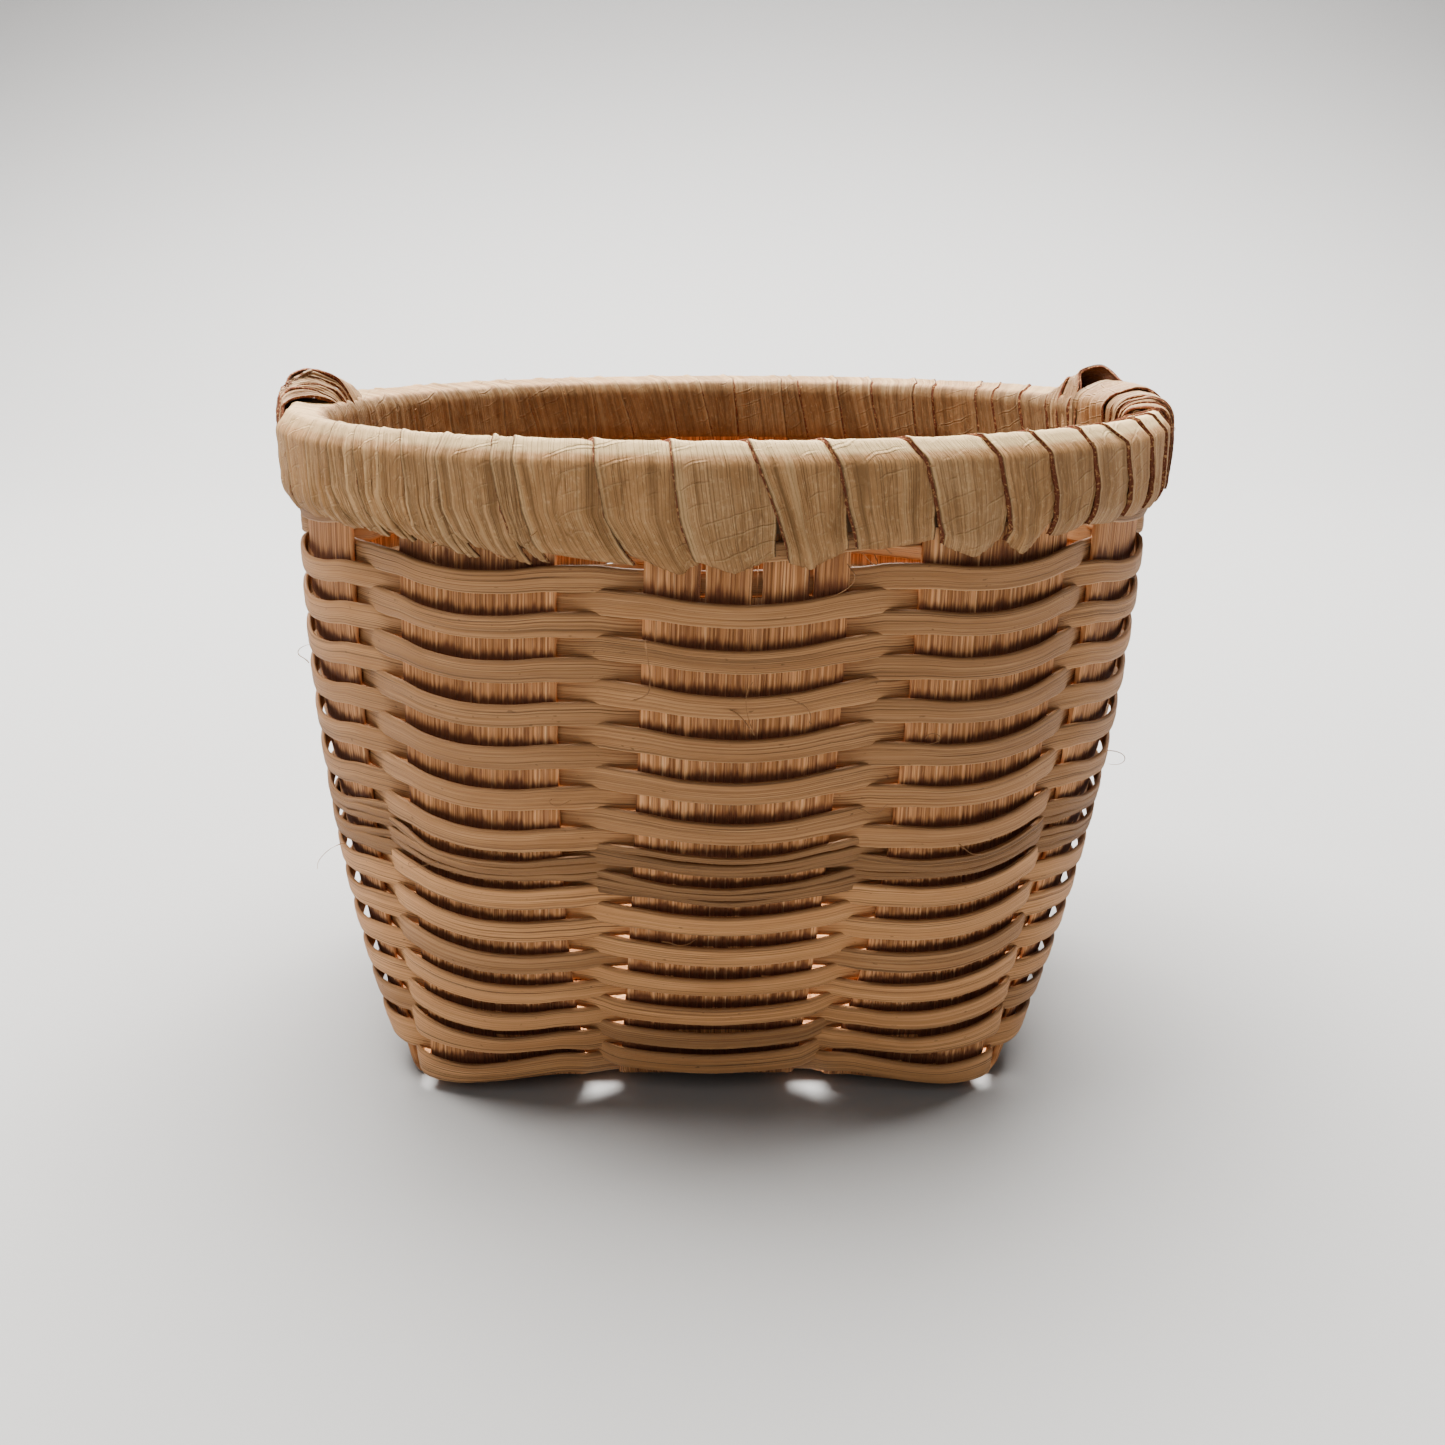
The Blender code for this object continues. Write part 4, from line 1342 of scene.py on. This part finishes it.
def edge_rail(leaf, number, sizes, share=1.0):
    """Frayed fibres along the leading edge of a strip, on the leaf's own surface."""
    rail = {}
    run = 0.0
    for step, spot in enumerate(leaf["points"]):
        half, side, out = leaf["half"][step], leaf["side"][step], leaf["out"][step]
        back = leaf["pull"][step] * (1 + leaf["tip"][step])
        run += LEAF_STEP
        fray = 1 + 1.1 * noise_at(run * 1900, number * 7.7, 0.0)
        proud = sizes.leaf_lift - leaf["bow"][step] - sizes.leaf_thick / 2
        add_point(rail, points=spot - side * half + out * proud - leaf["way"][step] * back,
                  out=out, up=side, half=FRAYED_WIDTH * fray * share,
                  thick=FRAYED_THICK * fray * share, along=run, row=float(number))
    return rail


def add_fibres(name, tree, rails, points, seed, finish):
    """Fine fibres that ride on the basket without taking the place of a CAD node."""
    made = rails_object(name, rails)
    grow(made, tree, {"Points Round": points, "Ridges": 0.0, "Seed": seed, "Finish": finish})
    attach(made, "root")


class BASKET_OT_wrap(bpy.types.Operator):
    """Wind the leaf strip over both hoops, turn by turn"""
    bl_idname = "basket.wrap"
    bl_label = "Leaf wrap"

    def execute(self, context):
        sizes, colours = context.scene.basket_sizes, context.scene.basket_colours
        tree, strands = leaf_tree(), strand_tree()
        edge = edge_material(colours)
        finish = leaf_material("wrap_leaf", colours.leaf, 0.10,
                               rim_section(WRAP_OUTER_DEPTH)[3] - INSIDE_SHADE_MARGIN)
        turns = wrap_turns()
        for strip in range(WRAP_STRIPS):
            own = [number for number, turn in enumerate(turns) if turn[0] == strip]
            rails = [turn_rail(number, turns) for number in own]
            made = rails_object(f"leaf_wrap_{strip + 1}", rails)
            grow(made, tree, {"Points Across": LEAF_POINTS, "Crumple": sizes.leaf_crumple,
                              "Edge Lift": sizes.leaf_lift, "Seed": 3.0, "Finish": finish},
                 (sizes.leaf_thick, edge))
            face_outwards(made)
            adopt(made, "rim_leaf", f"rim_wrap_{strip + 1}")
            frayed = [edge_rail(rail, number, sizes) for rail, number in zip(rails, own)]
            add_fibres(f"frayed_edges_{strip + 1}", strands, frayed, FRAYED_POINTS,
                       5.0, edge)
        return {"FINISHED"}


# ---------------------------------------------------------------- leaf loops

RIM_CORE = (38.0, -2.0)
LOOP_STEPS = 64
LOOP_POINTS = 21
LOOP_SPREAD = 1.12
LOOP_WANDER = 0.00022
LOOP_BOW_SHARE = -0.04
LOOP_PLEAT_SHARE = 0.26
LOOP_PLEAT_LEAST = 0.00006
LOOP_THICK_SHARE = 0.7
LOOP_FRAY_SHARE = 0.6

# Run over the rim from its inside to its outside: millimetres from the middle of the basket and
# above the ridge.
RIM_RUN = ((35.9, -3.4), (36.0, -1.2), (36.7, -0.3), (38.2, 0.0), (39.2, -0.25), (39.95, -1.6),
           (40.0, -4.4), (39.65, -7.2))


def over_rim(angles, lifts):
    """Edge of a strip laid over the rim; its angle in degrees and its lift in millimetres are
    given inside, on top and outside."""
    edge = []
    for place, (radius, high) in enumerate(RIM_RUN):
        angle, lift = (float(np.interp(place, (0, 3, 7), given)) for given in (angles, lifts))
        away = Vector((radius - RIM_CORE[0], high - RIM_CORE[1])).normalized() * lift
        edge.append((angle, radius + away.x, high + away.y))
    return edge


# Edges of the strips of each loop from the nearest to the farthest: degrees round the rim,
# millimetres from the middle of the basket and millimetres above the ridge.
LEFT_EDGES = (
    ((-79, 39.8, -2.2), (-81, 39.6, -0.2), (-86, 38.6, 0.3), (-91, 37.0, -0.2), (-96, 36.0, -2.0)),
    ((-80, 40.0, -2.0), (-83, 39.8, 0.5), (-87, 38.8, 1.0), (-94, 37.2, 0.0), (-97, 36.0, -2.2)),
    ((-81, 40.1, -1.8), (-84, 40.0, 0.9), (-90, 38.5, 1.2), (-96, 37.2, 0.4), (-98, 36.0, -2.3)),
    ((-82, 40.1, -1.6), (-86, 39.8, 1.4), (-92, 38.8, 1.9), (-98, 37.3, 0.6), (-99, 36.0, -2.3)),
    ((-84, 40.1, -1.4), (-89, 39.4, 1.9), (-93, 38.7, 2.4), (-99, 37.4, 1.0), (-100, 36.0, -2.0)),
    ((-94, 40, -1.8), (-99, 39.5, 0.4), (-102, 38.6, 0.7), (-105, 37.5, 0.2), (-105, 36, -2)),
)
HOOD_EDGES = (
    ((104, 35.8, -3.6), (105, 36.0, -1.6), (106, 36.6, 0.3), (108, 37.3, 1.6), (106, 38.4, 2.2),
     (103, 39.1, 1.4), (100, 39.7, 0.2), (99, 40.1, -1.4)),
    ((110, 35.8, -4.0), (111, 36.0, -2.0), (112, 36.8, -0.2), (112, 37.6, 0.9), (110, 38.6, 0.8),
     (107, 39.3, 0.3), (104, 39.8, -0.4), (102, 40.1, -1.8)),
)
# Strips of the fan: degrees round the rim of the first one's near edge, from one strip to the
# next, and how wide each is.
FAN_STRIPS = 6
FAN_START = 73.5
FAN_PITCH = 2.7
FAN_WIDTH = 3.6


def loop_edges(name):
    """Pairs of near and far edges of the strips of a loop."""
    if name == "left":
        return list(zip(LEFT_EDGES, LEFT_EDGES[1:]))
    behind = over_rim((115, 114, 106), (0.0, 0.1, 0.0))
    pairs = [HOOD_EDGES, (HOOD_EDGES[1], behind),
             (over_rim((93, 92, 88), (0.2, 0.75, 0.5)), over_rim((105, 103, 96), (0.2, 1.0, 0.4)))]
    for strip in range(FAN_STRIPS):
        near, lift = FAN_START + FAN_PITCH * strip, -0.06 + 0.12 * strip
        pairs.append([over_rim((near + far + 2.5, near + far, between(80.0, near, 0.35) + far),
                               (0.0, lift + far * 0.03, lift * 0.3)) for far in (0.0, FAN_WIDTH)])
    return pairs


def loop_rail(near, far, number):
    """Rail of one strip of a loop, laid between its near and its far edge."""
    places = np.arange(len(near), dtype=float)
    wanted = np.linspace(0.0, places[-1], LOOP_STEPS)
    lines = []
    for edge in (near, far):
        angles, radii, highs = (eased(places, np.array(column, dtype=float), wanted)
                                for column in zip(*edge))
        highs += RIM_HEIGHT / MILLIMETRE
        lines.append([round_rim(*place) * MILLIMETRE
                      for place in zip(np.radians(angles), radii, highs)])
    spots = [(low + high) / 2 for low, high in zip(*lines)]
    rail = {}
    run = 0.0
    for step, spot in enumerate(spots):
        reach = lines[1][step] - lines[0][step]
        way = (spots[min(step + 1, LOOP_STEPS - 1)] - spots[max(step - 1, 0)]).normalized()
        side = reach.normalized()
        out = side.cross(way).normalized()
        core = Vector((spot.x, spot.y, 0.0)).normalized() * RIM_CORE[0] * MILLIMETRE
        core += UP * (RIM_HEIGHT + RIM_CORE[1] * MILLIMETRE)
        if out.dot(spot - core) < 0:
            out = -out
        half = reach.length / 2 * LOOP_SPREAD
        spot = spot + out * noise_at(run * 330, number * 3.7, 2.0) * LOOP_WANDER
        run += (spot - spots[step - 1]).length if step else 0.0
        add_point(rail, points=spot, out=out, side=side, way=way, half=half,
                  bow=half * LOOP_BOW_SHARE, pleat=half * LOOP_PLEAT_SHARE + LOOP_PLEAT_LEAST,
                  pull=0.0, tip=0.0, along=run, turn=60.0 + number)
    return rail


class BASKET_OT_ears(bpy.types.Operator):
    """Fold the tails of the leaf into the two loops on the rim"""
    bl_idname = "basket.ears"
    bl_label = "Leaf loops"

    def execute(self, context):
        sizes, colours = context.scene.basket_sizes, context.scene.basket_colours
        tree, strands = leaf_tree(), strand_tree()
        finish = leaf_material("loop_leaf", darker(colours.leaf, 0.86))
        # The loops' inner face is painted shade.
        edge, inside = edge_material(colours), leaf_material("loop_inside_shade", colours.leaf_inside_shade)
        for name, first in (("left", 10), ("right", 30)):
            rails = [loop_rail(near, far, first + number)
                     for number, (near, far) in enumerate(loop_edges(name))]
            made = rails_object(f"leaf_loop_{name}", rails)
            grow(made, tree, {"Points Across": LOOP_POINTS, "Crumple": sizes.leaf_crumple,
                              "Edge Lift": sizes.leaf_lift, "Seed": 8.0, "Finish": inside},
                 (sizes.leaf_thick * LOOP_THICK_SHARE, edge, finish))
            face_outwards(made)
            adopt(made, "ear_leaf", f"ear_{name}")
            frayed = [edge_rail(rail, first + number, sizes, LOOP_FRAY_SHARE)
                      for number, rail in enumerate(rails)]
            add_fibres(f"frayed_loop_{name}", strands, frayed, FRAYED_POINTS, 6.0,
                       edge)
        return {"FINISHED"}


# ---------------------------------------------------------------- hoops

class BASKET_OT_hoops(bpy.types.Operator):
    """Finish the two reed hoops that the leaf is wound over"""
    bl_idname = "basket.hoops"
    bl_label = "Rim hoops"

    def execute(self, context):
        finish = hoop_shade_material(context.scene.basket_colours)
        for name in ("rim_hoop_outer", "rim_hoop_inner"):
            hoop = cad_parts[name]
            hoop.data.materials.clear()
            hoop.data.materials.append(finish)
        return {"FINISHED"}


# ---------------------------------------------------------------- loose fibres

# Where loose fibres start on the wall: side of the basket, place along that side and height in
# millimetres, heading in degrees from the rightward way, and length in millimetres.
WALL_FIBRES = (
    (0, -6.5, 37.8, 8, 13.0), (0, 0.5, 37.4, -4, 9.0), (0, 4.0, 38.1, 12, 6.0),
    (0, 8.5, 48.0, -50, 5.0), (0, 10.5, 48.6, -70, 4.0), (0, 12.0, 48.3, 150, 5.5),
    (0, -15.0, 48.6, -30, 4.0), (0, -19.5, 47.8, 160, 5.0), (0, -10.5, 29.8, 200, 4.0),
    (0, 10.5, 29.0, 20, 3.5), (0, -22.0, 22.5, 40, 5.0), (0, 15.5, 34.0, 70, 3.5),
    (0, -4.0, 17.5, 10, 5.0), (0, 19.0, 25.0, -20, 4.5), (3, 14.0, 35.0, 170, 4.0),
    (3, 20.0, 20.5, 190, 4.5), (1, -18.0, 28.0, 20, 4.5), (1, 6.0, 31.0, 30, 5.0),
    (2, -8.0, 26.0, 160, 5.0), (2, 9.0, 40.0, 10, 6.0), (3, -6.0, 12.0, 200, 4.0),
)
WALL_CURL = 1.0
LEAF_FIBRES = 46
LEAF_CURL = 1.6
FIBRE_STEPS = 26
FIBRE_POINTS = 5
FIBRE_HALF = 0.000045
FIBRE_THICK = 0.00008
LEAVING_SHARE = 0.25


def fibre_rail(start, out, heading, curl, length, number):
    """Rail of one loose fibre that leaves the surface and curls back."""
    rail = {}
    spot, way = start.copy(), heading.normalized()
    for step in range(FIBRE_STEPS):
        share = step / (FIBRE_STEPS - 1)
        bend = Vector([noise_at(share * 2.6, number * 1.7, 5.3 + 3.7 * axis) for axis in range(3)])
        lift = 0.16 if share < LEAVING_SHARE else -0.17
        way = (way + out * curl * lift + bend * 0.30).normalized()
        spot = spot + way * (length / FIBRE_STEPS)
        add_point(rail, points=spot, out=out, up=way.cross(out).normalized(),
                  half=FIBRE_HALF * (1.1 - 0.7 * share),
                  thick=FIBRE_THICK * (1.1 - 0.7 * share), along=share * length,
                  row=40.0 + number)
    return rail


class BASKET_OT_fibres(bpy.types.Operator):
    """Add the loose fibres that stand off the weave and the leaf"""
    bl_idname = "basket.fibres"
    bl_label = "Loose fibres"

    def execute(self, context):
        rails = []
        for number, (side, lateral, height, heading, length) in enumerate(WALL_FIBRES):
            point, normal, upward = wall_frame(side, lateral * MILLIMETRE, height * MILLIMETRE)
            angle = math.radians(heading)
            way = upward.cross(normal) * math.cos(angle) + upward * math.sin(angle)
            start = point + normal * (WEAVE_OFFSET + WEAVER_BOW + WEAVER_THICK / 2)
            rails.append(fibre_rail(start, normal, way, WALL_CURL, length * MILLIMETRE, number))
        turns = wrap_turns()
        for number in range(LEAF_FIBRES):
            leaf = turn_rail(number * len(turns) // LEAF_FIBRES, turns)
            last = len(leaf["points"]) - 1
            step = min(max(int((0.5 + 0.46 * chance(number, 11)) * last), 0), last)
            out, side = leaf["out"][step], leaf["side"][step]
            start = leaf["points"][step] - side * leaf["half"][step] - out * leaf["bow"][step]
            way = leaf["way"][step] * 0.6 - side * (0.6 + 0.4 * chance(number, 12))
            length = (0.9 + 0.8 * abs(chance(number, 13))) * MILLIMETRE
            rails.append(fibre_rail(start, out, way, LEAF_CURL, length, number + 30))
        finish = strand_material("loose_fibre", context.scene.basket_colours, 0.75, 0.3)
        add_fibres("loose_fibres", strand_tree(), rails, FIBRE_POINTS, 2.0, finish)
        return {"FINISHED"}


# ---------------------------------------------------------------- stage

CAMERA_LENS = 40.24
CAMERA_SENSOR = 36.0
CAMERA_SHIFT = -0.00104
CAMERA_PLACE = (0.0, -0.152, 0.06753)
CAMERA_DOWN = 0.269
CAMERA_CLIPS = (0.01, 20.0)

FLOOR_HALF = 1.6
FLOOR_FRONT = -1.2
FLOOR_BACK = 0.35
CARD_BEND = 0.45
CARD_STEPS = 24
CARD_TOP = 1.6
FLOOR_FRONT_SHADE = (-0.16, 0.12)
CARD_SHADE = (0.03, 0.24)

SKY_COLOUR = (0.92, 0.95, 1.0, 1.0)
SKY_STRENGTH = 0.11
# Name, place, target, size, power and colour of each lamp.
SOFTBOXES = (
    ("top_box", (-0.05, 0.14, 0.60), (0.0, 0.0, 0.03), (0.70, 0.52), 30.0, (1.0, 0.98, 0.94)),
    ("back_box", (0.0, 0.50, 0.46), (0.0, 0.38, 0.0), (0.7, 0.24), 12.0, (1.0, 0.99, 0.97)),
    ("front_fill", (-0.15, -0.55, 0.42), (0.0, 0.0, 0.03), (0.6, 0.4), 1.1, (1.0, 0.97, 0.94)),
)


def softbox(name, place, target, size, power, colour):
    lamp = bpy.data.lights.new(name, "AREA")
    lamp.shape = "RECTANGLE"
    lamp.size, lamp.size_y = size
    lamp.energy = power
    lamp.color = colour
    made = add_object(name, lamp)
    made.location = place
    made.rotation_euler = (Vector(target) - Vector(place)).to_track_quat("-Z", "Y").to_euler()


def floor_material(tint):
    """Matt card with painted shade: a little darker towards the camera and up the backdrop."""
    made, recipe = shades("floor_card", 0.2)
    place = recipe.object_place()
    speck = recipe.noise(place, scale=900.0)
    base = recipe.layered(
        darker(tint, 0.97), (speck, tint),
        # Painted shade towards the camera and up the backdrop.
        (1 - place.part("Y").ramp(*FLOOR_FRONT_SHADE), darker(tint, 0.88)),
        (place.part("Z").ramp(*CARD_SHADE), darker(tint, 0.50)))
    recipe.finish_shader(base, 0.7 + speck * 0.1, speck, 0.1, FLOOR_RELIEF)
    return made


class BASKET_OT_stage(bpy.types.Operator):
    """Set up the camera, the pale floor and the soft light"""
    bl_idname = "basket.stage"
    bl_label = "Stage"

    def execute(self, context):
        scene = context.scene
        camera = bpy.data.cameras.new("camera")
        camera.sensor_width = CAMERA_SENSOR
        camera.lens = CAMERA_LENS
        camera.shift_x = CAMERA_SHIFT
        camera.clip_start, camera.clip_end = CAMERA_CLIPS
        viewer = add_object("camera", camera)
        viewer.location = CAMERA_PLACE
        viewer.rotation_euler = (QUARTER - CAMERA_DOWN, 0.0, 0.0)
        scene.camera = viewer

        profile = [(FLOOR_FRONT, 0.0), (FLOOR_BACK, 0.0)]
        for step in range(1, CARD_STEPS + 1):
            turn = step / CARD_STEPS * QUARTER
            profile.append((FLOOR_BACK + CARD_BEND * math.sin(turn),
                            CARD_BEND * (1 - math.cos(turn))))
        profile.append((FLOOR_BACK + CARD_BEND, CARD_TOP))
        mesh = bpy.data.meshes.new("floor")
        points = [(x, y, z) for y, z in profile for x in (-FLOOR_HALF, FLOOR_HALF)]
        faces = [(2 * n, 2 * n + 1, 2 * n + 3, 2 * n + 2) for n in range(len(profile) - 1)]
        mesh.from_pydata(points, [], faces)
        mesh.shade_smooth()
        mesh.materials.append(floor_material(scene.basket_colours.floor))
        add_object("floor", mesh)

        world = bpy.data.worlds.new("studio")
        world.use_nodes = True
        background = world.node_tree.nodes["Background"]
        background.inputs["Color"].default_value = SKY_COLOUR
        background.inputs["Strength"].default_value = SKY_STRENGTH
        scene.world = world
        for lamp in SOFTBOXES:
            softbox(*lamp)
        return {"FINISHED"}


# ---------------------------------------------------------------- panel and run

STEPS = ("stage", "splints", "weavers", "hoops", "wrap", "ears", "fibres")


class BASKET_PT_panel(bpy.types.Panel):
    """Sizes, colours and steps of the basket"""
    bl_idname = "BASKET_PT_panel"
    bl_label = "Split Reed Basket"
    bl_space_type = "VIEW_3D"
    bl_region_type = "UI"
    bl_category = "Basket"

    def draw(self, context):
        for group in (context.scene.basket_sizes, context.scene.basket_colours):
            box = self.layout.box()
            for name in group.bl_rna.properties.keys():
                if name not in ("rna_type", "name"):
                    box.prop(group, name)
        for step in STEPS:
            self.layout.operator(f"basket.{step}")


CLASSES = (BasketSizes, BasketColours, BASKET_OT_stage, BASKET_OT_splints, BASKET_OT_weavers,
           BASKET_OT_hoops, BASKET_OT_wrap, BASKET_OT_ears, BASKET_OT_fibres,
           BASKET_PT_panel)


def register():
    for item in CLASSES:
        bpy.utils.register_class(item)
    bpy.types.Scene.basket_sizes = bpy.props.PointerProperty(type=BasketSizes)
    bpy.types.Scene.basket_colours = bpy.props.PointerProperty(type=BasketColours)


def unregister():
    del bpy.types.Scene.basket_colours
    del bpy.types.Scene.basket_sizes
    for item in reversed(CLASSES):
        bpy.utils.unregister_class(item)


def main():
    register()
    for step in STEPS:
        getattr(bpy.ops.basket, step)()


if __name__ == "__main__":
    main()
